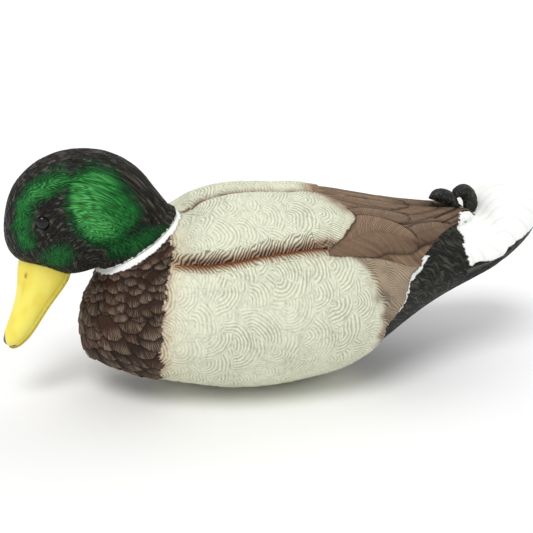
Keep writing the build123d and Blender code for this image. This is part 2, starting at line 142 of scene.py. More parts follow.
# ================= the body's grid =================
# middle line of the body: x, z
SPINE = np.array([
    (96, 56), (54, 68), (0, 72), (-60, 74), (-121, 86), (-187, 96), (-222, 105), (-244, 113),
], float)
COARSE_ROWS, COARSE_COLUMNS = 150, 180
END_TILT = 0.16  # share of the rows that turn round each end


def spine_rows(s):
    """Centres and forward tilt for row places from 0, the breast, to 1, the tail."""
    middle = np.clip((s - END_TILT * 0.5) / (1 - END_TILT), 0, 1)
    x = SPINE[0, 0] + (SPINE[-1, 0] - SPINE[0, 0]) * middle
    z = np.interp(-x, -SPINE[:, 0], SPINE[:, 1])
    front = np.clip(1 - s / END_TILT, 0, 1)
    rear = np.clip((s - 1 + END_TILT) / END_TILT, 0, 1)
    tilt = math.pi / 2 * (front ** 1.2 - rear ** 1.2)
    return x, z, tilt


def body_rays(s, angle):
    """Ray centres and directions: angle 0 is straight up and it grows towards the duck's left."""
    x, z, tilt = spine_rows(s)
    shape = (len(s), len(angle))
    centres = np.zeros(shape + (3,))
    centres[..., 0] = x[:, None]
    centres[..., 2] = z[:, None]
    directions = np.zeros(shape + (3,))
    directions[..., 0] = np.sin(tilt)[:, None]
    directions[..., 1] = np.cos(tilt)[:, None] * np.sin(angle)[None, :]
    directions[..., 2] = np.cos(tilt)[:, None] * np.cos(angle)[None, :]
    return centres, directions


# ================= the neck joint =================
SWIVEL = next(j for j in frame["record"]["behaviour"]["joints"] if j["name"] == "head_swivel")
NECK = np.array(SWIVEL["pos_m"]) / MM
NECK_AXIS = unit(np.array(SWIVEL["axis"], float))
NECK_FORE = np.array([NECK_AXIS[2], 0, -NECK_AXIS[0]])
COLLAR_HOLE = 26.0


def cap_collar(centres, directions, radius):
    """Closes the neck socket's mouth with the plane of the collar."""
    facing = directions @ NECK_AXIS
    level = ((NECK - centres) @ NECK_AXIS) / np.where(np.abs(facing) < 1e-6, 1e-6, facing)
    spot = centres + directions * level[..., None] - NECK
    over = (facing > 0.2) & (np.linalg.norm(spot, axis=-1) < COLLAR_HOLE)
    return np.where(over | np.isnan(radius), level, radius)


# ================= openings under the belly =================
def node_middle(name):
    low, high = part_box(name)
    return np.array((low + high) / 2) / MM


DRAIN_MARGIN = 3
LUG_HALF_LONG, LUG_HALF_WIDE = 12, 9
DRAIN = node_middle("drain_bush")
DRAIN_RADIUS = (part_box("drain_bush")[1].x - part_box("drain_bush")[0].x) / MM / 2
LINE = node_middle("line_lug")


def bridge(radius, bad):
    """Carries the surface smoothly across the marked places."""
    out = np.where(bad, np.nanmedian(radius), radius)
    for _ in range(400):
        near = np.roll(out, 1, 0) + np.roll(out, -1, 0) + np.roll(out, 1, 1) + np.roll(out, -1, 1)
        out = np.where(bad, near / 4, out)
    return out


def under_openings(centres, directions, radius):
    spot = centres + directions * radius[..., None]
    flat = centres - directions * (centres[..., 2:] / np.minimum(directions[..., 2:], -1e-6))
    down = directions[..., 2] < -0.6
    drain = np.hypot(flat[..., 0] - DRAIN[0], flat[..., 1]) < DRAIN_RADIUS + DRAIN_MARGIN
    line = (np.abs(flat[..., 0] - LINE[0]) < LUG_HALF_LONG) & (np.abs(flat[..., 1]) < LUG_HALF_WIDE)
    return bridge(radius, (down & (drain | line)) | np.isnan(spot).any(axis=-1))


# ================= the body's fine surface =================
GRID_STEP = 0.72  # millimetres between neighbouring points


class Surface:
    """A fine grid of points with normals and two measured directions."""

    def __init__(self, points):
        self.points = points
        along = np.gradient(points, axis=0)
        across = np.roll(points, -1, axis=1) - np.roll(points, 1, axis=1)
        self.normals = unit(np.cross(across, along))
        self.shape = points.shape[:2]


def body_surface():
    tree = node_tree("body_shell", "left_wing", "right_wing", "tail_fan")
    coarse_s = np.linspace(0, 1, COARSE_ROWS)
    coarse_angle = turns(COARSE_COLUMNS)
    centres, directions = body_rays(coarse_s, coarse_angle)
    radius = cap_collar(centres, directions, cast_grid(tree, centres, directions))
    radius = under_openings(centres, directions, radius)
    radius = blur_matrix(COARSE_ROWS, 1.0, False) @ radius @ blur_matrix(COARSE_COLUMNS, 1.2, True).T
    length = np.linalg.norm(np.diff((centres + directions * radius[..., None])[:, 45], axis=0), axis=1)
    reach = np.concatenate([[0], np.cumsum(length)])
    rows = int(reach[-1] / GRID_STEP)
    row_at = np.interp(np.linspace(0, reach[-1], rows), reach, np.arange(COARSE_ROWS))
    ring = centres + directions * radius[..., None]
    middle = ring[COARSE_ROWS // 2]
    side = np.linalg.norm(np.roll(middle, -1, axis=0) - middle, axis=1)
    around = np.concatenate([[0], np.cumsum(side)])
    columns = int(around[-1] / GRID_STEP)
    column_at = np.interp(np.arange(columns) / columns * around[-1], around, np.arange(COARSE_COLUMNS + 1))
    fine = spline_matrix(COARSE_ROWS, False, row_at) @ radius
    fine = fine @ spline_matrix(COARSE_COLUMNS, True, column_at).T
    fine_s = row_at / (COARSE_ROWS - 1)
    fine_angle = column_at / COARSE_COLUMNS * 2 * math.pi
    centres, directions = body_rays(fine_s, fine_angle)
    return Surface(centres + directions * fine[..., None])


# ================= noise and smooth curves for sculpting =================
def noise(a, b, seed):
    """Smooth noise from 0 to 1 over two coordinates, one bump for each unit."""
    size = 256
    table = np.random.default_rng(seed).random((size, size))
    i, j = np.floor(a).astype(int), np.floor(b).astype(int)
    s, t = a - i, b - j
    s, t = s * s * (3 - 2 * s), t * t * (3 - 2 * t)
    near = table[i % size, j % size] * (1 - s) + table[(i + 1) % size, j % size] * s
    far = table[i % size, (j + 1) % size] * (1 - s) + table[(i + 1) % size, (j + 1) % size] * s
    return near * (1 - t) + far * t


GRAPH_STEP = 0.5
GRAPH_REACH = 60
GRAPH_KERNEL = 40  # samples on each side that soften a curve


def graph(points, soften=4.0):
    """A smooth curve through points, as a function of its first coordinate."""
    points = np.array(sorted(points), float)
    at = np.arange(points[0, 0] - GRAPH_REACH, points[-1, 0] + GRAPH_REACH, GRAPH_STEP)
    kernel = np.exp(-0.5 * (np.arange(-GRAPH_KERNEL, GRAPH_KERNEL + 1) * GRAPH_STEP / soften) ** 2)
    value = np.pad(np.interp(at, points[:, 0], points[:, 1]), GRAPH_KERNEL, mode="edge")
    value = np.convolve(value, kernel / kernel.sum(), "valid")
    return lambda q: np.interp(q, at, value)


def bend(points, count=24):
    """A smooth line through a few points."""
    points = np.array(points, float)
    at = np.linspace(0, len(points) - 1, count)
    return spline_matrix(len(points), False, np.minimum(at, len(points) - INSIDE_LAST)) @ points


def tint(red, green, blue):
    """Linear colour from display values of 0 to 255."""
    v = np.array([red, green, blue]) / 255
    return np.where(v <= 0.04045, v / 12.92, ((v + 0.055) / 1.055) ** 2.4)


def between_strokes(phase):
    """1 midway between two strokes and 0 on top of one."""
    return 0.5 - 0.5 * np.cos(2 * math.pi * phase)


def mix(under, over, share):
    return under + (over - under) * share[..., None]


CREAM = tint(228, 230, 206)
RUST = tint(134, 80, 46)
UMBER = tint(62, 40, 28)
WING_BROWN = tint(104, 82, 64)
WING_PALE = tint(160, 134, 110)
BREAST_DARK = tint(52, 37, 28)
BREAST_LIGHT = tint(158, 138, 120)
BLACK = tint(32, 32, 28)
WHITE = tint(246, 247, 244)


# ================= the coat: what is sculpted and painted on a surface =================
OUTSIDE = -9.0  # a depth that lies well clear of any outline


class Coat:
    """Relief and paint for each point of a surface. Strokes are the fine parallel barbs."""

    def __init__(self, surface):
        self.surface = surface
        shape = surface.shape
        self.height = np.zeros(shape)
        self.phase = np.zeros(shape)  # stroke number
        self.depth = np.zeros(shape)  # relief of the strokes, mm
        self.tone = np.zeros(shape)  # how strongly painted shade darkens the paint between the strokes and a painted highlight lightens their tops
        self.colour = filled(shape, CREAM)

    def cover(self, window, inside, lift, strokes, colour, line=0.9, shade=0.45):
        """Lays a feather over the window where inside, its depth in from the outline, is positive, and paints
        its shadow on what lies just outside: that paint is darkened to shade over about line millimetres.
        """
        phase, depth, tone = strokes
        over = inside > 0
        lip = smooth_step(0, 0.9, inside)
        rim = smooth_step(0, 1.4, inside)
        beside = smooth_step(0, 1.6, -inside)
        shadow = np.where(over, 1.0, 1 - (1 - shade) * bell(inside, line))
        self.height[window] = np.where(over, lift * lip, self.height[window])
        self.phase[window] = np.where(over, phase, self.phase[window])
        self.depth[window] = np.where(over, depth * rim, self.depth[window] * beside)
        self.tone[window] = np.where(over, tone * rim, self.tone[window] * beside)
        kept = self.colour[window] * shadow[..., None]
        self.colour[window] = np.where(over[..., None], colour, kept)

    def comb(self, where, phase, depth, tone):
        """Lays other strokes over part of the coat and leaves its shape and colour."""
        self.phase = np.where(where, phase, self.phase)
        self.depth = np.where(where, depth, self.depth)
        self.tone = np.where(where, tone, self.tone)

    def points(self, share):
        """The relief points: this share of each stroke's relief is in the mesh."""
        ripple = np.cos(2 * math.pi * self.phase) * self.depth * share
        return self.surface.points + self.surface.normals * (self.height + ripple)[..., None]


def grid_window(surface, row, column, radius):
    """Rows and columns of the grid that can lie within radius of a point."""
    rows, columns = surface.shape
    reach = int(radius / (GRID_STEP * 0.55)) + 1
    span = np.arange(max(0, row - reach), min(rows, row + reach + 1))
    wide = int(radius / max(surface.column_step[span].min(), 0.05)) + 1
    across = np.arange(column - wide, column + wide + 1) % columns
    if len(across) >= columns:
        across = np.arange(columns)
    return np.ix_(span, across)


def local_frame(surface, row, column, heading):
    """A point's place, its normal and two tangents, the second turned towards heading."""
    place, normal = surface.points[row, column], surface.normals[row, column]
    ahead = heading - normal * (heading @ normal)
    ahead = ahead / max(np.linalg.norm(ahead), 1e-6)
    return place, normal, np.cross(ahead, normal), ahead


def local_coordinates(surface, window, frame_here, radius):
    """Across, along, and whether the point is on the same side of the piece."""
    place, normal, across, ahead = frame_here
    offset = surface.points[window] - place
    same = (surface.normals[window] @ normal > 0.1) & (np.abs(offset @ normal) < radius)
    return offset @ across, offset @ ahead, same


def scatter(surface, region, spacing, seed, stretch=1.0, tries=9000):
    """Places over a region, no two nearer than spacing; stretch packs them closer up and down."""
    rng = np.random.default_rng(seed)
    rows, columns = np.nonzero(region)
    area = surface.area[rows, columns]
    picks = rng.choice(len(rows), size=min(tries, len(rows)), replace=False, p=area / area.sum())
    kept = np.zeros((0, 3))
    out = []
    for pick in picks:
        point = surface.points[rows[pick], columns[pick]] * (1, 1, stretch)
        if len(kept) and (np.abs(kept - point).max(axis=1) < spacing).any():
            if (np.linalg.norm(kept - point, axis=1) < spacing).any():
                continue
        kept = np.vstack([kept, point])
        out.append((rows[pick], columns[pick]))
    return out


# ================= where things lie on the body: x and girth from the crest =================
breast_edge = graph([
    (0, 54), (24, 56), (37, 56), (50, 57), (61, 62), (70, 65), (82, 68.5), (95, 71), (109, 72),
    (131, 71), (200, 70),
])
groove_line = graph([(57, 54), (46.5, 65), (34, 75), (20, 81), (7, 82), (-23, 81), (-39, 78.5), (-53, 77.5)])
lobe_edge = graph([
    (0, -66), (12, -68), (19.6, -75), (33, -80), (44.6, -84), (56, -76), (70, -65), (80, -51),
], 2.5)
flank_top = graph([(-40, 79), (-53, 81), (-68, 80), (-92, 78), (-119, 80), (-137, 76), (-150, 74)])
wing_hem = graph([(-125, 82), (-134, 73), (-145, 63), (-165, 45), (-180, 33), (-204, 12), (-212, 0)])
flank_rear = graph([
    (60, -142), (70.6, -136), (87, -123), (104.5, -112.5), (124.5, -105), (140, -97), (169, -95),
    (230, -96),
])
flank_brown = graph([
    (76, -60), (88, -76), (100, -83), (114, -87), (129, -91), (151, -94), (172, -92), (230, -84),
])
tail_front = graph([
    (0, -208), (10, -205), (17, -193), (22, -186), (37, -177), (49, -179), (63, -175), (80, -180),
], 2.0)
tail_hem = graph([
    (-170, 76), (-180, 76), (-196, 69), (-209, 61), (-225, 58), (-238, 52), (-250, 46), (-264, 32),
])


class Chart:
    """Each body point's x, its girth from the crest, and its height."""

    def __init__(self, surface):
        points = surface.points
        step = np.linalg.norm(np.roll(points, -1, axis=1) - points, axis=2)
        round_to = np.concatenate([np.zeros((len(points), 1)), np.cumsum(step, axis=1)], axis=1)
        girth = round_to[:, -1:]
        self.x, self.y, self.z = points[..., 0], points[..., 1], points[..., 2]
        self.g = np.minimum(round_to[:, :-1], girth - round_to[:, :-1])
        self.left = np.where(round_to[:, :-1] <= girth / 2, 1.0, -1.0)
        self.up = surface.normals[..., 2]
        offset = points - NECK
        self.collar = offset @ NECK_AXIS
        self.fore = offset @ NECK_FORE


def everywhere(chart):
    """The window that takes in the whole chart."""
    rows, columns = chart.x.shape
    return np.ix_(np.arange(rows), np.arange(columns))


def ragged(chart, scale, reach, seed):
    """An uneven shift for a painted edge."""
    fine = noise(chart.x / scale + 50, chart.g / scale + 90 * (chart.left > 0), seed) - 0.5
    broad = noise(chart.x / scale / 4 + 50, chart.g / scale / 4 + 90 * (chart.left > 0), seed + 1) - 0.5
    return reach * (fine * 1.3 + broad)


# spacing, radius, half angle and forward shift of each layer of fans, the lowest layer first
WHORL_LAYERS = ((15.0, 25.0, 3.2, 0.0), (13.0, 27.0, 1.3, 0.5), (17.0, 23.0, 1.15, 0.5))


def whorl_field(coat, region, seed):
    """Fingerprint fans: sectors of warped concentric rings, the front ones lapping over those behind."""
    surface = coat.surface
    rng = np.random.default_rng(seed)
    for spacing, radius, half_angle, shift in WHORL_LAYERS:
        places = scatter(surface, region, spacing, seed + int(spacing))
        places.sort(key=lambda place: surface.points[place][0] + rng.uniform(-12, 12))
        for row, column in places:
            turn = rng.uniform(-1.0, 1.0)
            size = radius * rng.uniform(0.75, 1.15)
            pitch = rng.uniform(2.3, 3.0)
            heading = np.array([-math.cos(turn), 0.2 * math.sin(turn), math.sin(turn)])
            frame_here = local_frame(surface, row, column, heading)
            window = grid_window(surface, row, column, size * 1.1)
            across, along, same = local_coordinates(surface, window, frame_here, size * 1.1)
            along = along + size * shift
            distance = np.hypot(across * rng.uniform(0.8, 1.2), along)
            angle = np.arctan2(across, along)
            wave = 0.3 * np.sin(angle * rng.uniform(2, 4) + rng.uniform(0, 6))
            wave = wave + 0.5 * (noise(across / 5 + row, along / 5 + column, seed) - 0.5)
            limit = size * (1 + 0.08 * np.sin(angle * 4 + rng.uniform(0, 6)))
            inside = np.minimum(limit - distance, (half_angle - np.abs(angle)) * distance)
            inside = np.where(same & region[window], inside, OUTSIDE)
            strokes = (distance / pitch + wave, 0.4, 0.42)
            base = coat.height[window]
            # each fan paints a faint shadow on the rings just outside its edge
            coat.cover(window, inside, 0.0, strokes, coat.colour[window], line=0.8, shade=0.9)
            swell = 0.45 * smooth_step(0, 2.5, inside) * smooth_step(0.0, 0.9, distance / size)
            coat.height[window] = np.where(inside > 0, swell, base)
    points = surface.points
    worn = noise(points[..., 0] / 22 + 40, points[..., 2] / 22 + 9 * (points[..., 1] > 0), seed + 5)
    worn = 0.35 + 0.75 * smooth_step(0.2, 0.75, worn)
    coat.depth *= worn
    coat.tone *= 0.55 + 0.45 * worn


def breast_feathers(coat, chart, region, seed):
    """Overlapping scales that point down and back, larger towards the waterline."""
    surface = coat.surface
    rng = np.random.default_rng(seed)
    places = scatter(surface, region & (chart.z > 84), 8.4, seed, 1.6)
    places += scatter(surface, region & (chart.z <= 84), 12.6, seed + 1, 1.7)
    places.sort(key=lambda place: chart.z[place] - 0.3 * chart.x[place])
    for row, column in places:
        level = smooth_step(104, 60, chart.z[row, column])
        size = (0.85 + 0.5 * level) * rng.uniform(0.85, 1.15)
        half, long = 9.4 * size, 15.0 * size
        lean = rng.uniform(-0.35, 0.35)
        heading = np.array([-0.45 + lean, 0.0, -1.0])
        if surface.normals[row, column][2] < -0.75:
            heading = np.array([-1.0, lean, 0.0])
        frame_here = local_frame(surface, row, column, heading)
        window = grid_window(surface, row, column, long)
        across, along, same = local_coordinates(surface, window, frame_here, long)
        along = along + long * 0.5
        share = np.clip(along / long, 0, 1)
        outline = (np.abs(across) / half) ** 2.0 + np.maximum((along - long * 0.35) / (long * 0.65), 0) ** 2.0
        frayed = 1.3 * (noise(across / 1.6 + row, along / 9 + column, seed) - 0.5)
        inside = (1 - np.sqrt(outline)) * half + frayed
        inside = np.where(same & region[window] & (along > 0), inside, OUTSIDE)
        fan = np.arctan2(across, along + long * 0.45)
        phase = fan * long * 0.8 + 0.6 * noise(along / 3.5 + row, across / 2.5 + column, seed)
        tip = smooth_step(0.42, 0.9, share) * smooth_step(-0.2, 0.6, inside)
        fleck = noise(fan * 18 + row, along / 4.5 + column, seed + 3)
        light = tip * fleck * rng.uniform(0.45, 1.0)
        ground = BREAST_DARK * rng.uniform(0.7, 1.2) + tint(70, 34, 20) * rng.uniform(0, 0.4)
        colour = mix(filled(share.shape, ground), BREAST_LIGHT, light)
        strokes = (phase, 0.22 + 0.2 * share, 1.0)
        # each scale paints a dark shadow on the scale beneath, just past its tip
        coat.cover(window, inside, 0.2 + 1.6 * share ** 1.6, strokes, colour, line=1.1, shade=0.3)


def path_coordinates(chart, path):
    """Along and across a line in the chart, with the whole length."""
    line = bend(path)
    best = np.full(chart.x.shape, 1e9)
    along = np.zeros(chart.x.shape)
    across = np.zeros(chart.x.shape)
    start = 0.0
    low, high = line.min(axis=0) - 30, line.max(axis=0) + 30
    box = (chart.x > low[0]) & (chart.x < high[0]) & (chart.g > low[1]) & (chart.g < high[1])
    x, g = chart.x[box], chart.g[box]
    near_best, near_along, near_across = best[box], along[box], across[box]
    for (x0, g0), (x1, g1) in zip(line, line[1:]):
        dx, dg = x1 - x0, g1 - g0
        length = math.hypot(dx, dg)
        share = ((x - x0) * dx + (g - g0) * dg) / length ** 2
        held = np.clip(share, 0, 1)
        px, pg = x - x0 - held * dx, g - g0 - held * dg
        distance = np.hypot(px, pg)
        closer = distance < near_best
        near_best = np.where(closer, distance, near_best)
        near_along = np.where(closer, start + share * length, near_along)
        near_across = np.where(closer, np.sign(dg * px - dx * pg) * distance, near_across)
        start += length
    best[box], along[box], across[box] = near_best, near_along, near_across
    return along, across, best, start, box


def quill(coat, chart, region, path, upper, lower, lift, tints, barb_turn=0.75, pitch=1.5):
    """One long wing feather along a path from root to tip: half widths above and below its shaft."""
    along, across, _, length, box = path_coordinates(chart, path)
    share = np.clip(along / length, 0, 1)
    half = np.where(across < 0, upper, lower)
    swell = np.clip(share / 0.35, 0, 1) ** 0.6
    outline = (np.abs(across) / np.maximum(half * swell, 0.1)) ** 2.0
    outline = outline + np.maximum((share - 0.55) / 0.45, 0) ** 2.4 + (along > length) * 2.0
    inside = np.where(box & region & (along > 0), (1 - np.sqrt(outline)) * half, OUTSIDE)
    phase = (along - np.abs(across) * barb_turn) / pitch + 0.35 * noise(along / 5, across / 4 + 40, 5)
    shaft = bell(across, 0.7) * smooth_step(length, length * 0.8, along)
    dark, pale = tints
    sheen = 0.45 + 0.4 * (noise(phase, along / 9, 7) - 0.5) + 0.25 * np.clip(-across / half, -1, 1)
    colour = mix(filled(share.shape, dark), pale, np.clip(sheen, 0, 1)) * (1 - 0.35 * shaft)[..., None]
    edge = smooth_step(0, 2.2, inside)
    colour = colour * (0.72 + 0.28 * edge)[..., None]
    strokes = (phase, 0.26 * (1 - shaft), 0.75)
    relief = lift * (0.55 + 0.45 * np.clip(np.abs(across) / half, 0, 1)) + 0.5 * shaft
    # each feather paints a dark shadow on what lies just outside its edge
    coat.cover(everywhere(chart), inside, relief, strokes, colour, line=1.3, shade=0.22)


# ================= painting the body =================
def paint_over(coat, where, colour, share=1.0):
    """Brushes a colour over part of the coat."""
    amount = np.clip(where * share, 0, 1)
    coat.colour = mix(coat.colour, colour, amount)


def regions(chart):
    """The named areas of the body, as depths in from their edges in millimetres."""
    x, g = chart.x, chart.g
    found = {}
    found["breast"] = x - breast_edge(g) + ragged(chart, 1.7, 3.0, 21)
    found["lobe"] = np.minimum(x - lobe_edge(g) + ragged(chart, 3.5, 1.6, 23), groove_line(x) - g)
    rear = flank_rear(g) + 2.0 * np.sin(g / 6.5) + ragged(chart, 2.5, 1.4, 25)
    found["flank"] = np.where(x > -52, g - groove_line(x), np.minimum(x - rear, g - flank_top(x)))
    hem = np.where(x > -130, flank_top(x) + 4, wing_hem(x))
    under_lobe = np.where(g < groove_line(x) - 1, found["lobe"], x - lobe_edge(g))
    found["wing"] = np.minimum(hem - g, 0.3 - under_lobe)
    inner = 9.0 * smooth_step(-148, -200, x)
    found["wing"] = np.minimum(found["wing"], (g - inner) * 0.8)
    before = tail_front(g) - x + ragged(chart, 2.2, 3.0, 27)
    below = tail_hem(x) - g + ragged(chart, 3.0, 1.5, 29)
    tail = np.minimum(before, below)
    found["tail"] = np.where(chart.up > -0.22, tail, -np.abs(tail) - 1)
    found["rump"] = np.minimum(rear - x, g - np.where(x > -208, wing_hem(x), 0))
    return found


def sculpt_forms(coat, chart, area):
    """The large relief: crest crease, groove, lobes and overlaps."""
    x, g = chart.x, chart.g
    crest = smooth_step(52, 40, x) * smooth_step(-86, -58, x)
    coat.height += crest * (1.3 * bell(g - 26, 13) - 3.6 * bell(g, 5.5))
    bank = smooth_step(60, 50, x) * smooth_step(-66, -46, x)
    off = g - groove_line(x)
    coat.height += bank * (1.1 * bell(off + 12, 8) + 0.8 * bell(off - 13, 8)
                           - 2.0 * bell(off, 3.2))
    flank = smooth_step(-1.2, 1.2, area["flank"]) * smooth_step(-40, -75, x)
    coat.height += 1.5 * flank * smooth_step(70, 86, g)


# dark spots on the rear flank: x and its reach, girth and its reach
DARK_SPOTS = ((-92, 9, 112, 5), (-97, 7, 128, 7), (-90, 5, 150, 8))


def paint_flank(coat, chart, area):
    """Cream whorls over the back and flanks, going brown at the rear and in the groove."""
    x, g = chart.x, chart.g
    cream = (area["breast"] < 3) & ((area["lobe"] > 0) | (area["flank"] > -1)) & (area["tail"] < 0)
    whorl_field(coat, cream, 101)
    off = g - groove_line(x)
    bank = smooth_step(62, 54, x) * smooth_step(-72, -52, x)
    curl = 3.4 * noise(x / 6.5, off / 8 + 30, 31) + 1.6 * noise(x / 2.6, off / 5 + 30, 32)
    reach = 9.0 + 5.0 * noise(x / 4.5, chart.left * 7 + 11, 34) + 3.0 * smooth_step(10, -40, x)
    above = np.where((off < 1.0) & cream, bank, 0) * smooth_step(-reach, -reach * 0.55, off)
    below = np.where((off >= 1.0) & cream, bank, 0) * smooth_step(9, 4, off)
    upper_hairs = (x * 0.8 - off * 0.6 + curl) / 2.25
    lower_hairs = (x * 0.8 + off * 0.6 + curl) / 2.25
    hairs = np.where(off < 1.0, upper_hairs, lower_hairs)
    comb = np.where(off < 1.0, above, below)
    combed = comb > 0.35
    weight = np.clip(np.abs(comb - 0.35) * 4, 0, 1)
    strength = np.where(off < 1.0, 0.6, 0.28) * (0.6 + 0.5 * noise(hairs * 0.9, off / 5, 36))
    near_groove = (bank > 0) & (np.abs(off) < 16)
    coat.depth = np.where(near_groove, coat.depth * weight, coat.depth)
    coat.comb(combed, hairs, weight * strength, 0.85)
    cut = between_strokes(hairs)
    spread = np.where(off < 0, 6.0, 4.6) * (0.75 + 0.5 * noise(x / 9, chart.left * 5 + 3, 37))
    streak = bell(off, spread) * bank * np.where(off < 0, 0.45 + 0.6 * cut, 0.9)
    paint_over(coat, np.clip(streak * 1.25, 0, 1) * cream, RUST, 1.0)
    core = bell(off + 1.6, 2.6) * bank * cream
    patchy = 0.5 + 0.8 * noise(x / 8, chart.left * 5 + 8, 38)
    paint_over(coat, core * (0.35 + 0.65 * cut) * patchy, UMBER, 0.95)
    edge = area["breast"]
    fade = bell(np.minimum(edge, 0), 4.5) * cream
    cut = between_strokes(coat.phase)
    paint_over(coat, fade * (0.25 + 0.75 * cut), RUST, 0.8)
    warm = smooth_step(-22, 0, -np.abs(edge)) * cream
    paint_over(coat, warm, tint(205, 176, 140), 0.22)
    behind = flank_brown(g) - x
    brown = smooth_step(-9, 9, behind + ragged(chart, 6, 6.0, 33))
    brown = brown * (area["flank"] > -1) * smooth_step(72, 80, g)
    comb = (x * 0.42 + g * 0.9) / 1.75 + 3.2 * noise(x / 8, g / 8, 35)
    start = 0.28
    combed = (brown > start) & (area["flank"] > -1) & (g < 190)
    coat.depth = coat.depth * np.clip((start - brown) * 6, 0, 1)
    coat.comb(combed, comb, 0.3 * np.clip((brown - start) * 4, 0, 1), 0.25 + 0.6 * noise(x / 7, g / 5, 40))
    cut = between_strokes(comb)
    brown = np.clip(brown * (0.8 + 0.5 * cut * (brown < 0.9)), 0, 1)
    tan = 0.5 + 0.7 * (noise(x / 9 + 50, g / 9, 39) - 0.5)
    earth = mix(filled(x.shape, WING_BROWN), tint(158, 124, 96), np.clip(tan, 0, 1))
    paint_over(coat, brown, earth, 0.95)
    for row, (centre_x, reach_x, centre_g, reach_g) in enumerate(DARK_SPOTS):
        near = spot(x - centre_x, reach_x, g - centre_g, reach_g)
        paint_over(coat, near * brown * (0.4 + noise(comb, x / 9 + row, 42)), UMBER, 0.6)
    hem = bell(g - flank_top(x), 5.0) * smooth_step(-46, -58, x) * (area["flank"] > -1)
    paint_over(coat, hem, WING_PALE * 0.8, 0.75)
    lip = bell(area["flank"], 1.6) * smooth_step(-110, -80, -g) * (x < -90)
    paint_over(coat, lip, WING_BROWN * 0.55, 0.6)


def paint_wing(coat, chart, area):
    """Brown wing: barbed back, long primaries, then the tertials laid on top."""
    x, g = chart.x, chart.g
    wing = (area["wing"] > 0) & (area["lobe"] < 0.5)
    barbs = (x * 0.62 + g * 0.78) / 1.55 + 0.4 * noise(x / 8, g / 8, 41)
    sheen = 0.42 + 0.9 * (noise(x / 16, g / 7, 43) - 0.5) + 0.6 * (noise(barbs, (x - g) / 14, 44) - 0.5)
    colour = mix(filled(x.shape, WING_BROWN), WING_PALE, np.clip(sheen, 0, 1))
    inside = np.where(area["wing"] > 0, area["wing"], OUTSIDE)
    # the wing paints a shadow just outside its edge
    coat.cover(everywhere(chart), inside, 0.5, (barbs, 0.24, 0.7), colour, line=1.2, shade=0.35)
    plain = (WING_BROWN * 0.95, WING_PALE)
    soft = (WING_BROWN, WING_PALE * 1.05)
    deep = (WING_BROWN * 0.8, WING_PALE * 0.85)
    for path, upper, lower, lift, tints in (
        ([(-104, 66), (-140, 57), (-178, 33), (-207, 8)], 7.5, 8.0, 0.7, deep),
        ([(-100, 55), (-138, 46), (-170, 30), (-200, 8)], 6.5, 6.5, 1.0, plain),
        ([(-95, 44), (-132, 36), (-165, 21), (-194, 5)], 6.5, 6.5, 1.3, plain),
        ([(-84, 28), (-112, 26), (-142, 20), (-172, 9)], 9.0, 9.0, 1.3, soft),
        ([(-74, 12), (-95, 13), (-120, 12), (-146, 8)], 9.0, 9.5, 1.1, soft),
        ([(-78, 38), (-95, 36), (-112, 35), (-134, 33)], 9.5, 10.0, 1.2, plain),
        ([(-84, 66), (-112, 62), (-142, 51), (-170, 41)], 9.0, 10.5, 1.2, deep),
        ([(-50, 81), (-75, 68), (-98, 58), (-130, 62)], 18.5, 19.0, 1.7, soft),
    ):
        quill(coat, chart, wing, path, upper, lower, lift, tints)
    for path in ([(-156, 35), (-174, 22), (-190, 11)], [(-161, 40), (-180, 26), (-195, 15)],
                 [(-122, 23), (-134, 19), (-141, 16)]):
        along, _, away, _, _ = path_coordinates(chart, path)
        slit = bell(away, 0.9) * smooth_step(-2, 4, along) * wing
        coat.height -= 0.9 * slit
        paint_over(coat, slit, UMBER * 0.7, 0.9)
    back = smooth_step(26, 4, g) * smooth_step(-120, -165, x) * wing
    paint_over(coat, back, BLACK, 0.55)
    smudge = spot(x + 128, 13, g - 65, 6) * wing
    paint_over(coat, smudge * (0.3 + 0.9 * noise(barbs, x / 9, 48)), UMBER, 0.75)
    lobe = area["lobe"]
    # painted shadow: a thin dark line on the wing just behind the raised lobe's rear edge
    near = bell(np.minimum(lobe, 0), 1.7) * (x < -48) * (lobe < 0) * smooth_step(26, 36, g)
    paint_over(coat, near, UMBER * 0.5, 0.9)
    coat.height += 1.5 * smooth_step(-0.6, 0.6, lobe) * smooth_step(-40, -56, x)
    comb = (x * 0.5 + g * 0.87) / 2.1 + 1.2 * noise(x / 8, g / 8, 45)
    fringe = (lobe > 0) & (lobe < 15) & (x < -42) & (g > 14)
    weight = np.clip(np.minimum(lobe / 0.8, (15 - lobe) / 3), 0, 1)
    coat.comb(fringe, comb, 0.3 * weight, 0.6)
    rim = bell(np.maximum(lobe, 0), 2.5) * (lobe > 0) * (x < -45)
    paint_over(coat, rim, tint(196, 178, 144), 0.35)
    dusk = bell(np.maximum(lobe, 0), 9.0) * smooth_step(50, 30, g) * smooth_step(-46, -60, x)
    paint_over(coat, np.where(lobe > -0.5, dusk, 0) * (0.75 + 0.5 * noise(x / 4, g / 4, 47)), WING_PALE, 1.0)


def paint_crease(coat, chart):
    """A little brown in the crest's crease."""
    crest = smooth_step(50, 38, chart.x) * smooth_step(-66, -52, chart.x)
    offset = chart.g - 1.0
    fade = bell(offset, 3.6) * crest * (0.5 + 0.7 * noise(chart.x / 6, chart.left * 5 + 4, 49))
    paint_over(coat, fade, RUST * 0.9, 0.85)
    paint_over(coat, bell(offset, 1.3) * crest, UMBER * 0.8, 0.85)


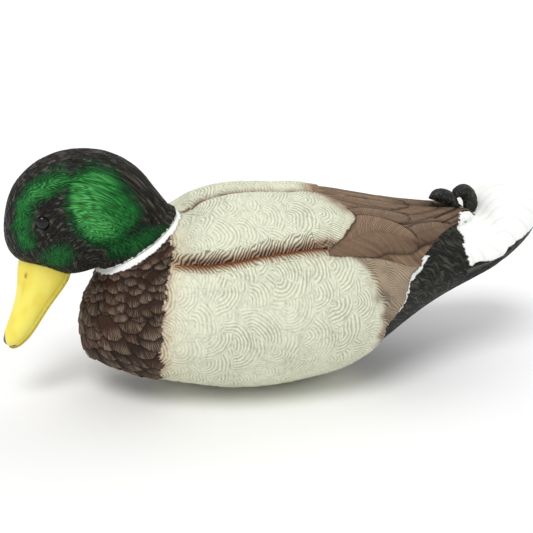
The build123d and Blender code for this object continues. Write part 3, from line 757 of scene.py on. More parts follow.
def paint_rump(coat, chart, area):
    """Black rump with fine wavy relief, and the white stripe before it."""
    x, g = chart.x, chart.g
    wave = (g * 0.94 + x * 0.34 + 5 * noise(x / 4.2, g / 7, 50) + 7 * noise(x / 11, g / 11, 51)) / 1.7
    fleck = noise(wave * 1.6, x / 5, 52)
    colour = mix(filled(x.shape, BLACK * 0.8), tint(100, 100, 90), smooth_step(0.45, 0.9, fleck) * 0.5)
    rump = area["rump"] + 2.0
    level = -0.6 * smooth_step(0, 4, rump) * smooth_step(-170, -120, x)
    old = coat.height.copy()
    under = (rump > 0) & (area["flank"] < 0) & (area["wing"] < 0)
    shape = np.where(under, rump, OUTSIDE)
    strokes = (wave, 0.16 + 0.3 * noise(x / 3, g / 2.4, 55), 0.75)
    coat.cover(everywhere(chart), shape, 0.0, strokes, colour, shade=1.0)
    coat.height = np.where(under, level, old)
    fine = 1.6 * (noise(g / 2.2, chart.left * 9 + 20, 53) - 0.5)
    broad = 2.5 * (noise(g / 9, chart.left * 9 + 40, 54) - 0.5)
    stripe_wide = 3.6 - 2.2 * smooth_step(85, 140, g) + fine + broad
    behind = -area["flank"]
    stripe = (behind > 0.2) & (behind < stripe_wide) & (g > 74) & (g < 178) & (area["wing"] < 0) & (x < -60)
    coat.colour = np.where(stripe[..., None], WHITE, coat.colour)
    coat.tone = np.where(stripe, 0.2, coat.tone)
    coat.height = np.where(stripe, coat.height + 0.5, coat.height)


TAIL_ROOT = np.array([-128.0, 0.0])


def paint_tail(coat, chart, area):
    """White tail fan: a dozen flat feathers that spread from under the rump."""
    spread = np.arctan2(chart.y, -(chart.x - TAIL_ROOT[0]))
    away = np.hypot(chart.x - TAIL_ROOT[0], chart.y)
    width = 0.105
    number = np.round(spread / width)
    across = (spread - number * width) * away
    half = width * away / 2
    order = np.abs(number)
    ridge = 0.35 * (1 - np.abs(across) / half) ** 0.5
    ridge = ridge + 0.3 * np.where(np.sign(number) * across > 0, -across / half, 0)
    barbs = (away * 0.55 + np.abs(across)) / 1.7
    # painted shade: the white greys along the grooves between the tail feathers; the fan also paints a faint
    # shadow just outside its edge
    tone = bell(half - np.abs(across), 0.8)
    colour = mix(filled(chart.x.shape, WHITE), tint(206, 210, 212), 0.3 * tone)
    white = area["tail"]
    lift = 0.5 + ridge * np.clip(1.1 - order * 0.02, 0.5, 1)
    coat.cover(everywhere(chart), white, lift, (barbs, 0.06, 0.1), colour, line=0.8, shade=0.8)
    rim = smooth_step(-0.22, -0.6, chart.up) * (chart.x < -176)
    dark = mix(filled(chart.x.shape, tint(96, 96, 92)), BLACK * 0.7, np.clip(rim * 1.6, 0, 1))
    coat.colour = np.where((rim > 0)[..., None], dark, coat.colour)


COLLAR_REACH = 48


def paint_collar(coat, chart):
    """The raised white neck ring, ragged below."""
    level = chart.collar
    angle = np.arctan2(chart.y, chart.fore)
    drop = 2.0 + 2.3 * np.abs(np.sin(angle)) ** 1.5 + 1.0 * (noise(angle * 22 + 80, level / 3 + 9, 61) - 0.5)
    inside = np.where(np.hypot(chart.y, chart.fore) < COLLAR_REACH, level + drop, OUTSIDE)
    colour = filled(chart.x.shape, WHITE)
    old = coat.height.copy()
    # the ring paints a faint shadow on the body just below its ragged edge
    coat.cover(everywhere(chart), inside, 0.0, (angle * 24, 0.12, 0.12), colour, line=0.8, shade=0.45)
    lip = smooth_step(-1.5, 0.6, inside) * smooth_step(0.3, -1.2, level)
    coat.height = old * (1 - smooth_step(-6, -1, inside)) + 0.9 * lip


def paint_body(surface):
    coat = Coat(surface)
    chart = Chart(surface)
    area = regions(chart)
    paint_flank(coat, chart, area)
    paint_rump(coat, chart, area)
    paint_wing(coat, chart, area)
    paint_crease(coat, chart)
    breast = area["breast"] > 0
    coat.colour = np.where(breast[..., None], BREAST_DARK, coat.colour)
    coat.height = np.where(breast, 0, coat.height)
    breast_feathers(coat, chart, breast, 71)
    paint_tail(coat, chart, area)
    sculpt_forms(coat, chart, area)
    paint_collar(coat, chart)
    settle = smooth_step(2.5, 6.0, chart.z)
    coat.height = np.minimum(coat.height, coat.height * settle)
    coat.height = np.where(chart.z < 4, np.minimum(coat.height, 0), coat.height)
    calm = smooth_step(0.3, -0.8, chart.collar)
    coat.height = coat.height * calm
    coat.depth = coat.depth * calm
    return coat, chart, area


# ================= meshes from grids =================
def grid_faces(rows, columns):
    """Quads of a grid that closes round its columns, each as four point numbers."""
    row = np.arange(rows - 1)[:, None]
    column = np.arange(columns)[None, :]
    right = (column + 1) % columns
    low, high = row * columns, (row + 1) * columns
    return np.stack([low + column, low + right, high + right, high + column], axis=-1).reshape(-1, 4)


def make_mesh(name, points, faces, colour, stroke):
    """A mesh object from arrays in millimetres, with its paint and stroke attributes."""
    used, index = np.unique(faces.ravel(), return_inverse=True)
    mesh = bpy.data.meshes.new(name)
    count = faces.shape[1]
    mesh.vertices.add(len(used))
    mesh.vertices.foreach_set("co", (points[used] * MM).astype(np.float32).ravel())
    mesh.loops.add(len(faces) * count)
    mesh.loops.foreach_set("vertex_index", index.astype(np.int32).ravel())
    mesh.polygons.add(len(faces))
    mesh.polygons.foreach_set("loop_start", np.arange(0, len(faces) * count, count, dtype=np.int32))
    mesh.update(calc_edges=True)
    mesh.validate()
    mesh.polygons.foreach_set("use_smooth", np.full(len(mesh.polygons), True))
    paint = mesh.attributes.new("paint", "FLOAT_COLOR", "POINT")
    shades = np.concatenate([np.clip(colour[used], 0, 1), np.ones((len(used), 1))], axis=1)
    paint.data.foreach_set("color", shades.astype(np.float32).ravel())
    strokes = mesh.attributes.new("stroke", "FLOAT_VECTOR", "POINT")
    strokes.data.foreach_set("vector", stroke[used].astype(np.float32).ravel())
    obj = bpy.data.objects.new(name, mesh)
    bpy.context.scene.collection.objects.link(obj)
    return obj


def border_loops(faces):
    """Directed edges that belong to one face only."""
    edges = np.concatenate([np.stack([faces[:, k], faces[:, (k + 1) % 4]], axis=1) for k in range(4)])
    edges = edges[edges[:, 0] != edges[:, 1]]
    top = int(edges.max()) + 1
    key = edges[:, 0].astype(np.int64) * top + edges[:, 1]
    back = edges[:, 1].astype(np.int64) * top + edges[:, 0]
    return edges[~np.isin(key, back)]


def skirted(points, normals, faces, colour, stroke, depth):
    """Adds a short wall that turns in from every border of these faces."""
    edges = border_loops(faces)
    rim = np.unique(edges)
    start = len(points)
    lookup = np.full(start, -1)
    lookup[rim] = start + np.arange(len(rim))
    points = np.concatenate([points, points[rim] - normals[rim] * depth])
    colour = np.concatenate([colour, colour[rim]])
    stroke = np.concatenate([stroke, stroke[rim] * 0])
    wall = np.stack([edges[:, 1], edges[:, 0], lookup[edges[:, 0]], lookup[edges[:, 1]]], axis=1)
    return points, np.concatenate([faces, wall]), colour, stroke


def coat_rows(coat, depth_share=1.0):
    """A coat's colours and strokes, one row for each point."""
    stroke = np.stack([coat.phase, coat.depth * depth_share, coat.tone], axis=-1)
    return coat.colour.reshape(-1, 3), stroke.reshape(-1, 3)


# ================= materials =================
class Shader:
    """A material with one Principled shader and short ways to add nodes."""

    def __init__(self, name, **constants):
        self.material = bpy.data.materials.new(name)
        self.material.use_nodes = True
        self.tree = self.material.node_tree
        self.tree.nodes.clear()
        self.surface = self.tree.nodes.new("ShaderNodeBsdfPrincipled")
        output = self.tree.nodes.new("ShaderNodeOutputMaterial")
        self.tree.links.new(self.surface.outputs[0], output.inputs[0])
        for socket, value in constants.items():
            self.surface.inputs[socket.replace("_", " ")].default_value = value

    def plug(self, socket, value):
        if isinstance(value, bpy.types.NodeSocket):
            self.tree.links.new(value, socket)
        else:
            socket.default_value = value

    def math(self, operation, first, second=0.5, third=0.5):
        node = self.tree.nodes.new("ShaderNodeMath")
        node.operation = operation
        for socket, value in zip(node.inputs, (first, second, third)):
            self.plug(socket, value)
        return node.outputs[0]

    def remap(self, value, low, high, to_low=0.0, to_high=1.0):
        node = self.tree.nodes.new("ShaderNodeMapRange")
        for socket, v in zip(node.inputs, (value, low, high, to_low, to_high)):
            self.plug(socket, v)
        return node.outputs[0]

    def blend(self, share, under, over, kind="MIX"):
        node = self.tree.nodes.new("ShaderNodeMix")
        node.data_type = "RGBA"
        node.blend_type = kind
        self.plug(node.inputs[0], share)
        for socket, value in ((node.inputs[6], under), (node.inputs[7], over)):
            self.plug(socket, (*value, 1) if isinstance(value, (tuple, np.ndarray)) else value)
        return node.outputs[2]

    def grain(self, scale, detail=3.0, rough=0.55, stretch=None):
        """Noise in the piece's own space; scale is in bumps per metre."""
        where = self.tree.nodes.new("ShaderNodeTexCoord").outputs["Object"]
        if stretch:
            mapping = self.tree.nodes.new("ShaderNodeMapping")
            self.tree.links.new(where, mapping.inputs["Vector"])
            mapping.inputs["Scale"].default_value = stretch
            where = mapping.outputs[0]
        node = self.tree.nodes.new("ShaderNodeTexNoise")
        self.tree.links.new(where, node.inputs["Vector"])
        node.inputs["Scale"].default_value = scale
        node.inputs["Detail"].default_value = detail
        node.inputs["Roughness"].default_value = rough
        return node.outputs[0]

    def attribute(self, name):
        node = self.tree.nodes.new("ShaderNodeAttribute")
        node.attribute_name = name
        return node

    def bump(self, height):
        """Relief from a height in metres."""
        node = self.tree.nodes.new("ShaderNodeBump")
        node.inputs["Strength"].default_value = 1.0
        node.inputs["Distance"].default_value = 1.0
        self.plug(node.inputs["Height"], height)
        self.plug(self.surface.inputs["Normal"], node.outputs[0])


RELIEF_IN_MESH = 0.45  # share of the strokes' relief that the mesh holds; the shader adds the rest
SPRAY_RELIEF = 0.00003
# what the paint is multiplied by: painted shade between the strokes and a painted highlight on top of them
GROOVE_SHADE = (0.3, 0.27, 0.2)
CREST_HIGHLIGHT = (1.16, 1.16, 1.18)


def painted(name, rough, rough_spread, speckle, fine=SPRAY_RELIEF, groove=GROOVE_SHADE, crest=CREST_HIGHLIGHT, **constants):
    """Painted moulding: vertex paint with painted shade between its strokes and a painted highlight on their
    tops, with stroke relief and spray grain.
    """
    s = Shader(name, **constants)
    paint = s.attribute("paint").outputs["Color"]
    parts = s.tree.nodes.new("ShaderNodeSeparateXYZ")
    s.tree.links.new(s.attribute("stroke").outputs["Vector"], parts.inputs[0])
    phase, depth, tone = parts.outputs
    wobble = s.remap(s.grain(260.0, 2.0), 0, 1, -0.14, 0.14)
    turn = s.math("MULTIPLY", s.math("ADD", phase, wobble), 2 * math.pi)
    ridge = s.remap(s.math("COSINE", turn), -1, 1)
    relief = s.math("POWER", ridge, 0.6)
    patchy = s.remap(s.grain(420.0, 2.0), 0.3, 0.6, 0.45, 1.0)
    depth = s.math("MULTIPLY", depth, patchy)
    # painted shade in the valleys between the strokes, then a painted highlight on their tops
    valley = s.math("POWER", s.math("SUBTRACT", 1.0, ridge), 1.6)
    shown = s.remap(depth, 0.0, 0.12)
    dark = s.math("MULTIPLY", s.math("MULTIPLY", valley, tone), shown)
    deep = s.blend(1.0, paint, groove, "MULTIPLY")
    colour = s.blend(dark, paint, deep)
    lit = s.math("MULTIPLY", s.math("MULTIPLY", s.math("POWER", ridge, 3.0), shown), tone)
    colour = s.blend(lit, colour, s.blend(1.0, colour, crest, "MULTIPLY"))
    spray = s.remap(s.grain(1500.0, 3.0, 0.7), 0.3, 0.7, 1 - speckle, 1 + speckle * 0.5)
    cloud = s.remap(s.grain(45.0, 3.0), 0.3, 0.7, 1 - speckle * 0.6, 1 + speckle * 0.3)
    shade = s.math("MULTIPLY", spray, cloud)
    node = s.tree.nodes.new("ShaderNodeVectorMath")
    node.operation = "SCALE"
    s.tree.links.new(colour, node.inputs[0])
    s.tree.links.new(shade, node.inputs["Scale"])
    s.tree.links.new(node.outputs[0], s.surface.inputs["Base Color"])
    gloss = s.remap(s.grain(300.0), 0.3, 0.7, rough - rough_spread, rough + rough_spread)
    s.plug(s.surface.inputs["Roughness"], gloss)
    height = s.math("MULTIPLY", s.math("MULTIPLY", relief, depth), MM)
    s.bump(s.math("ADD", height, s.math("MULTIPLY", s.grain(1900.0, 3.0), fine)))
    return s.material


def moulded(name, colour, rough, grain_scale=900.0, grain_height=0.00004, worn=0.12, **constants):
    """Plain moulded, cast or rolled stock: a mottled colour, uneven gloss and a fine skin."""
    s = Shader(name, **constants)
    cloud = s.remap(s.grain(70.0, 4.0), 0.3, 0.7)
    dark = tuple(c * (1 - worn) for c in colour)
    light = tuple(min(c * (1 + worn) + 0.05 * worn, 1) for c in colour)
    base = s.blend(cloud, dark, light)
    speck = s.remap(s.grain(1400.0, 2.0), 0.62, 0.74, 0.0, 0.35)
    s.plug(s.surface.inputs["Base Color"], s.blend(speck, base, tuple(c * 0.6 for c in colour)))
    s.plug(s.surface.inputs["Roughness"], s.remap(s.grain(220.0), 0.3, 0.7, rough * 0.8, min(rough * 1.2, 1)))
    s.bump(s.math("MULTIPLY", s.grain(grain_scale, 4.0), grain_height))
    return s.material


def brushed(name, colour, rough, stretch, **constants):
    """Metal with fine drawn lines."""
    s = Shader(name, Metallic=1.0, **constants)
    lines = s.grain(500.0, 3.0, stretch=stretch)
    s.plug(s.surface.inputs["Base Color"],
           s.blend(s.remap(s.grain(60.0), 0.35, 0.65), tuple(c * 0.75 for c in colour), tuple(colour)))
    s.plug(s.surface.inputs["Roughness"], s.remap(lines, 0.3, 0.7, rough * 0.7, rough * 1.3))
    s.bump(s.math("MULTIPLY", lines, 0.00002))
    return s.material


# ================= the body's pieces =================
SHAFT_HOLE = 23.2  # clears the neck socket's mouth
DRAIN_HOLE = DRAIN_RADIUS + 0.15
SKIRT = 2.2


def snap_ring(points, offset, reach, target):
    """Moves the points near a round hole's edge onto it; offset is from the hole's middle line."""
    away = np.linalg.norm(offset, axis=-1)
    near = np.abs(away - target) < reach
    moved = offset * (target / np.maximum(away, 1e-6) - 1)[..., None]
    return np.where(near[..., None], points + moved, points)


def build_body():
    surface = body_surface()
    step = np.linalg.norm(np.roll(surface.points, -1, axis=1) - surface.points, axis=2)
    rows = np.linalg.norm(np.gradient(surface.points, axis=0), axis=2)
    surface.area = step * rows
    surface.column_step = np.percentile(step, 5, axis=1)
    coat, chart, area = paint_body(surface)
    points = coat.points(RELIEF_IN_MESH)
    drain_offset = points - DRAIN
    drain_offset[..., 2] = 0
    near_drain = surface.normals[..., 2] < -0.5
    neck_offset = points - NECK
    level = neck_offset @ NECK_AXIS
    neck_offset = neck_offset - level[..., None] * NECK_AXIS
    near_neck = np.abs(level) < 1.5
    reach = GRID_STEP * 0.75
    points = np.where(near_drain[..., None], snap_ring(points, drain_offset, reach, DRAIN_HOLE), points)
    points = np.where(near_neck[..., None], snap_ring(points, neck_offset, reach, SHAFT_HOLE), points)
    in_drain = near_drain & (np.linalg.norm(drain_offset, axis=-1) < DRAIN_HOLE - reach)
    in_neck = near_neck & (np.linalg.norm(neck_offset, axis=-1) < SHAFT_HOLE - reach)
    gone = (in_drain | in_neck).ravel()
    count_rows, count_columns = surface.shape
    faces = grid_faces(count_rows, count_columns)
    faces = faces[~gone[faces].any(axis=1)]
    flat = points.reshape(-1, 3)
    normals = surface.normals.reshape(-1, 3)
    colour, stroke = coat_rows(coat, 1 - RELIEF_IN_MESH * 0.5)
    wing = ((area["wing"] > 0) | ((area["lobe"] > 0) & (chart.x < 54))) & (area["breast"] < 0)
    wing &= (chart.collar < -5) & (chart.z > 60)
    tail = (area["tail"] > 0) & ~wing
    label = np.zeros(surface.shape, int)
    label[wing & (chart.left > 0)] = 1
    label[wing & (chart.left < 0)] = 2
    label[tail] = 3
    part = np.sort(label.ravel()[faces], axis=1)[:, 1]
    names = ("body_skin", "wing_skin_left", "wing_skin_right", "tail_skin")
    nodes = (("body_shell",), ("left_wing",), ("right_wing",), ("tail_fan",))
    looks = {
        "body_skin": painted("paint_body", 0.55, 0.08, 0.06, Specular_IOR_Level=0.15),
        "wing_skin_left": painted("paint_wing_left", 0.58, 0.08, 0.07, Specular_IOR_Level=0.15),
        "wing_skin_right": painted("paint_wing_right", 0.58, 0.08, 0.07, Specular_IOR_Level=0.15),
        "tail_skin": painted("paint_tail", 0.5, 0.08, 0.03, Specular_IOR_Level=0.15),
    }
    for number, name in enumerate(names):
        mine = faces[part == number]
        piece = make_mesh(name, *skirted(flat, normals, mine, colour, stroke, SKIRT))
        piece.data.materials.append(looks[name])
        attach(piece, "body")
        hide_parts(*nodes[number])


# ================= the head =================
# middle line of the head: fore, up the axis
HEAD_LINE = np.array([(0, 0.7), (9, 14), (16, 27), (21, 41), (24, 54)], float)
HEAD_TILT = 0.5  # share of the rows that turn up over the crown


def head_point(fore, side, rise):
    """A place given forward, sideways and up along the swivel axis, in millimetres."""
    fore, side, rise = np.broadcast_arrays(np.asarray(fore, float), side, rise)
    place = NECK + fore[..., None] * NECK_FORE + rise[..., None] * NECK_AXIS
    place[..., 1] += side
    return place


def line_rays(line, s, tilt_share):
    """Centres and forward tilt of rays that turn to face along a middle line at its far end."""
    at = np.clip(s / (1 - tilt_share), 0, 1) * (len(line) - 1)
    middle = spline_matrix(len(line), False, np.minimum(at, len(line) - INSIDE_LAST)) @ line
    tilt = math.pi / 2 * np.clip((s - 1 + tilt_share) / tilt_share, 0, 1)
    return middle, tilt


def head_surface():
    count_rows, count_columns = 250, 520
    s = np.linspace(0, 1, count_rows)
    angle = turns(count_columns)
    middle, tilt = line_rays(HEAD_LINE, s, HEAD_TILT)
    centres = head_point(middle[:, 0], 0.0, middle[:, 1])[:, None, :] + np.zeros((1, count_columns, 1))
    flat = np.cos(angle)[None, :, None] * NECK_FORE + np.sin(angle)[None, :, None] * np.array([0, 1.0, 0])
    directions = np.cos(tilt)[:, None, None] * flat + np.sin(tilt)[:, None, None] * NECK_AXIS
    radius = cast_grid(node_tree("head_shell"), centres, directions, 140.0)
    radius = bridge(radius, np.isnan(radius))
    radius = blur_matrix(count_rows, 1.3, False) @ radius @ blur_matrix(count_columns, 1.3, True).T
    return Surface(centres + directions * radius[..., None])


EYE_FORE, EYE_RISE = 45.5, 61
EYE_SIDE = 15  # the eyes lie further out than this
EYE_LID = 5.6
FAR = 99
HEAD_BLACK = tint(28, 26, 22)
GREEN_DEEP = tint(14, 58, 28)
GREEN = tint(22, 104, 42)
GREEN_HIGHLIGHT = tint(84, 178, 92)


def soft_shape(outline, a, b):
    """Depth in from a closed outline of points in a plane."""
    outline = np.array(outline, float)
    nearest = np.full(a.shape, 1e9)
    inside = np.zeros(a.shape, bool)
    for (a0, b0), (a1, b1) in zip(outline, np.roll(outline, -1, axis=0)):
        da, db = a1 - a0, b1 - b0
        share = np.clip(((a - a0) * da + (b - b0) * db) / (da * da + db * db), 0, 1)
        nearest = np.minimum(nearest, np.hypot(a - a0 - share * da, b - b0 - share * db))
        crosses = ((b0 > b) != (b1 > b)) & (a < da * (b - b0) / np.where(db == 0, 1e-9, db) + a0)
        inside ^= crosses
    return np.where(inside, nearest, -nearest)


def paint_head(surface):
    coat = Coat(surface)
    offset = surface.points - NECK
    fore, rise = offset @ NECK_FORE, offset @ NECK_AXIS
    side = np.abs(surface.points[..., 1])
    left = np.where(surface.points[..., 1] > 0, 7.0, 0.0)
    throat = np.hypot(fore - 34, rise - 8)
    turn = np.arctan2(rise - 8, fore - 34)
    across = 60 * np.arctan2(side, throat)
    along = throat * turn
    wander = 4.4 * (noise(across / 3.6 + 40 + left, along / 2.7 + 200, 81) - 0.5)
    wander += 1.5 * (noise(across / 2.0 + 40 + left, along / 2.1 + 200, 82) - 0.5)
    coat.phase = (across + wander) / 1.75
    broken = noise(across / 1.5 + 10 + left, along / 3.6 + 90, 83)
    coat.depth = 0.12 + 0.34 * smooth_step(0.15, 0.65, broken)
    coat.tone = 0.45 + 0.45 * smooth_step(0.15, 0.65, broken)
    spread = 3.0 * (noise(across / 4 + 9, along / 9 + 60, 84) - 0.5) \
        + 2.0 * (noise(across / 1.2, along / 4 + 60, 85) - 0.5)
    patch = soft_shape([(9, 75), (-6, 72), (-17, 60), (-16, 42), (-16, 26), (-4, 20), (13, 19), (25, 30),
                        (27, 44), (23, 60)], fore, rise)
    green = smooth_step(-9, 8, patch + spread)
    bow = soft_shape([(70, 52), (64, 69), (52, 82), (33, 88), (9, 82), (9, 72), (24, 73), (38, 74), (49, 68),
                      (55, 58), (60, 46)], fore, rise)
    green = np.maximum(green, smooth_step(-5, 5, bow + spread) * 0.8)
    lower = 9.5 - np.hypot((fore - 51) * 0.9, rise - 33)
    green = np.maximum(green, smooth_step(-6, 6, lower + spread) * 0.75)
    nape = soft_shape([(-24, 2), (-12, 12), (0, 17), (18, 20), (22, 10), (8, 2)], fore, rise)
    green = np.maximum(green, smooth_step(-6, 5, nape + spread) * 0.6)
    green *= smooth_step(9, 19, side + spread)
    # painted highlight: a brighter green at a few set places on the side of the head and the crown, broken up
    # along the strokes
    highlight_spots = spot(fore - 2, 14, rise - 60, 11) \
        + spot(fore - 17, 9, rise - 50, 14) \
        + 0.8 * spot(fore - 12, 14, rise - 34, 9) \
        + 0.5 * spot(fore - 33, 16, rise - 81, 5)
    fleck = noise(across / 1.3 + left, along / 5 + 33, 86)
    colour = mix(filled(surface.shape, HEAD_BLACK), GREEN_DEEP, smooth_step(0.0, 0.35, green))
    colour = mix(colour, GREEN, smooth_step(0.3, 0.95, green))
    shine = np.clip(highlight_spots, 0, 1) * smooth_step(0.4, 0.9, green) * (0.25 + 0.6 * fleck)
    colour = mix(colour, GREEN_HIGHLIGHT, shine)
    grey = smooth_step(0.55, 0.95, noise(across / 1.1 + left, along / 4 + 11, 87))
    grey = grey * (1 - smooth_step(0.1, 0.5, green))
    coat.colour = mix(colour, tint(104, 100, 90), grey * 0.5)
    angle = np.arctan2(surface.points[..., 1], fore)
    hem = rise - 0.6 - 1.1 * noise(angle * 24 + 60, rise * 0 + 5, 88)
    coat.colour = mix(coat.colour, WHITE, smooth_step(0.25, -0.25, hem))
    tuft = smooth_step(0.6, 3.0, rise) * smooth_step(8, 3.5, rise) * smooth_step(-26, -33, fore)
    coat.height = 1.6 * tuft * (0.6 + 0.6 * noise(angle * 16 + 60, rise * 0 + 5, 89))
    brow = bell(rise - 70 - (fore - 44) * -0.4, 4) * bell(fore - 42, 14) * smooth_step(12, 22, side)
    cheek = spot(fore - 22, 20, rise - 38, 16) * smooth_step(12, 24, side)
    socket = bell(np.hypot(fore - 44, rise - 61), 8) * smooth_step(12, 22, side)
    coat.height += 0.7 * brow + 0.9 * cheek - 0.7 * socket
    eye = np.where(side > EYE_SIDE, np.hypot(fore - EYE_FORE, rise - EYE_RISE), FAR)
    coat.depth *= smooth_step(5.5, 8, eye) * smooth_step(0.4, 2.0, rise)
    coat.height += 0.5 * bell(eye - EYE_LID, 0.9)
    return coat


def closing_fan(points, colour, stroke, ring, reverse):
    """Closes a ring of points with rings that shrink to its middle."""
    centre = points[ring].mean(axis=0)
    shrink = (0.7, 0.35, 0.06)
    start = len(points)
    rings = [np.asarray(ring)]
    for share in shrink:
        rings.append(start + np.arange(len(ring)))
        start += len(ring)
        points = np.concatenate([points, centre + (points[ring] - centre) * share])
        colour = np.concatenate([colour, colour[ring]])
        stroke = np.concatenate([stroke, stroke[ring] * 0])
    faces = []
    for outer, inner in zip(rings, rings[1:]):
        quad = np.stack([outer, np.roll(outer, -1), np.roll(inner, -1), inner], axis=1)
        faces.append(quad[:, ::-1] if reverse else quad)
    half = len(ring) // 2
    last = rings[-1]
    k = np.arange(half - 1)
    quad = np.stack([last[k], last[k + 1], last[len(ring) - 2 - k], last[len(ring) - 1 - k]], axis=1)
    faces.append(quad[:, ::-1] if reverse else quad)
    return points, colour, stroke, np.concatenate(faces)


def closed_piece(name, coat, look, share=RELIEF_IN_MESH):
    """One closed skin from a coat: its grid with both end rings filled in."""
    rows, columns = coat.surface.shape
    points = coat.points(share).reshape(-1, 3)
    colour, stroke = coat_rows(coat)
    faces = [grid_faces(rows, columns)]
    for row, reverse in ((0, True), (rows - 1, False)):
        ring = row * columns + np.arange(columns)
        points, colour, stroke, more = closing_fan(points, colour, stroke, ring, reverse)
        faces.append(more)
    piece = make_mesh(name, points, np.concatenate(faces), colour, stroke)
    piece.data.materials.append(look)
    return piece


def build_head():
    coat = paint_head(head_surface())
    # deep green painted shade between the head's strokes and a strong painted highlight on their tops
    look = painted("paint_head", 0.42, 0.08, 0.1, groove=(0.26, 0.3, 0.26), crest=(1.7, 1.6, 1.6),
                   Specular_IOR_Level=0.15)
    piece = closed_piece("head_skin", coat, look)
    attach(piece, "head")
    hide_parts("head_shell")


# ================= the bill =================
# middle line of the bill in the head's frame: fore, up the axis
BILL_LINE = np.array([
    (52, 38), (61, 31.3), (70.5, 22.3), (80.8, 13.5), (92.3, 5.5), (104.5, -1.8), (113, -6),
], float)
BILL_TILT = 0.16  # share of the rows that turn round the tip
NOSTRIL = np.array([79.0, 30.5])
MOUTH_LINE = 3.4
BILL_SKIRT = 1.2
YELLOW = tint(238, 220, 84)
YELLOW_LIGHT = tint(248, 240, 118)
YELLOW_SHADE = tint(212, 188, 66)


def bill_surface():
    count_rows, count_columns = 170, 150
    s = np.linspace(0, 1, count_rows)
    angle = turns(count_columns)
    middle, tilt = line_rays(BILL_LINE, s, BILL_TILT)
    ahead = unit(np.gradient(middle, axis=0) + np.array([1e-6, 0]))
    ahead[tilt > 0] = ahead[tilt <= 0][-1]
    ahead = blur_matrix(count_rows, 6, False) @ ahead
    ahead = unit(ahead)
    upward = np.stack([-ahead[:, 1], ahead[:, 0]], axis=1)
    along = ahead[:, :1] * NECK_FORE + ahead[:, 1:] * NECK_AXIS
    rising = upward[:, :1] * NECK_FORE + upward[:, 1:] * NECK_AXIS
    centres = head_point(middle[:, 0], 0.0, middle[:, 1])[:, None, :] + np.zeros((1, count_columns, 1))
    sideways = np.sin(angle)[None, :, None] * np.array([0, 1.0, 0])
    ring = np.cos(angle)[None, :, None] * rising[:, None, :] + sideways
    directions = np.cos(tilt)[:, None, None] * ring + np.sin(tilt)[:, None, None] * along[:, None, :]
    radius = cast_grid(node_tree("upper_bill", "lower_bill"), centres, directions, 60.0)
    deep = np.isnan(radius) | (radius < 4)
    solid = np.nonzero(~deep[: count_rows // 2].any(axis=1))[0]
    first = int(solid[0]) + 6
    radius[:first] = radius[first]
    side = np.abs(np.sin(angle))[None, :] > 0.5
    spot = centres + directions * radius[..., None] - NECK
    hole = np.hypot(spot @ NECK_FORE - NOSTRIL[0] - 1, spot @ NECK_AXIS - NOSTRIL[1]) < 5.5
    radius = bridge(radius, (hole & side) | np.isnan(radius) | (radius < 2.5))
    radius = blur_matrix(count_rows, 2.0, False) @ radius @ blur_matrix(count_columns, 1.6, True).T
    surface = Surface(centres + directions * radius[..., None])
    surface.level = ((surface.points - centres) * rising[:, None, :]).sum(axis=-1)
    surface.length = (s * 78.0)[:, None] + np.zeros((1, count_columns))
    return surface


def paint_bill(surface):
    coat = Coat(surface)
    offset = surface.points - NECK
    fore, rise = offset @ NECK_FORE, offset @ NECK_AXIS
    side = np.abs(surface.points[..., 1])
    level, length = surface.level, surface.length
    floor = level.min(axis=1, keepdims=True)
    mouth = level - floor - MOUTH_LINE * (1 - 0.45 * smooth_step(30, 70, length))
    open_here = smooth_step(2, 6, side) + smooth_step(70, 76, length)
    gape = bell(mouth, 0.55) * np.clip(open_here, 0, 1)
    coat.height = -0.9 * gape
    coat.height += 0.45 * bell(mouth - 1.6, 0.9)
    slant = np.array([0.72, -0.69])
    there = np.stack([fore, rise], axis=-1) - NOSTRIL
    down_bill, over_bill = there @ slant, there @ np.array([0.69, 0.72])
    nostril = np.exp(-((down_bill / 2.0) ** 4 + (over_bill / 0.8) ** 4)) * smooth_step(3, 6, side)
    rim = np.exp(-(((down_bill + 1) / 6.5) ** 4 + (over_bill / 3.2) ** 4)) * smooth_step(3, 6, side)
    coat.height += 0.35 * rim - 1.5 * nostril
    channel = bell(over_bill, 1.0) * smooth_step(2.5, 5, down_bill) * smooth_step(26, 10, down_bill)
    coat.height -= 0.25 * channel * smooth_step(2, 5, side)
    nail = 1 - np.hypot((length - 73.5) / 6.2, surface.points[..., 1] / 6.4)
    upper = mouth > 0.4
    coat.height += np.where(upper, 0.5 * smooth_step(0, 0.25, nail), 0)
    shade = noise(length / 9, level / 5 + 20, 92)
    colour = mix(filled(surface.shape, YELLOW), YELLOW_LIGHT, 0.5 * smooth_step(0.2, 0.9, shade))
    # the bill goes darker towards its root; painted shade darkens the gape of the mouth line, the nostril and
    # the channel before it
    base = smooth_step(26, 12, length)
    colour = mix(colour, YELLOW_SHADE, 0.25 * base)
    colour = mix(colour, YELLOW_SHADE * 0.75, 0.85 * gape)
    colour = mix(colour, tint(168, 146, 58), np.clip(nostril, 0, 1))
    colour = mix(colour, YELLOW_SHADE, 0.4 * channel)
    black = smooth_step(0.0, 0.12, nail) * upper * smooth_step(66.5, 68.5, length)
    coat.colour = mix(colour, BLACK, black * 0.95)
    coat.phase = length / 1.4
    coat.depth = np.zeros(surface.shape)
    return coat, mouth


def build_bill():
    surface = bill_surface()
    coat, mouth = paint_bill(surface)
    rows, columns = surface.shape
    points = coat.points(0.0).reshape(-1, 3)
    normals = surface.normals.reshape(-1, 3)
    colour, stroke = coat_rows(coat)
    faces = grid_faces(rows, columns)
    below = (mouth.ravel()[faces] < 0).sum(axis=1) >= 3
    look = painted("paint_bill", 0.34, 0.06, 0.03, fine=0.00001, Specular_IOR_Level=0.35)
    for name, mine, node in (("bill_skin_upper", ~below, "upper_bill"),
                             ("bill_skin_lower", below, "lower_bill")):
        piece = make_mesh(name, *skirted(points, normals, faces[mine], colour, stroke, BILL_SKIRT))
        piece.data.materials.append(look)
        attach(piece, "head")
        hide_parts(node)


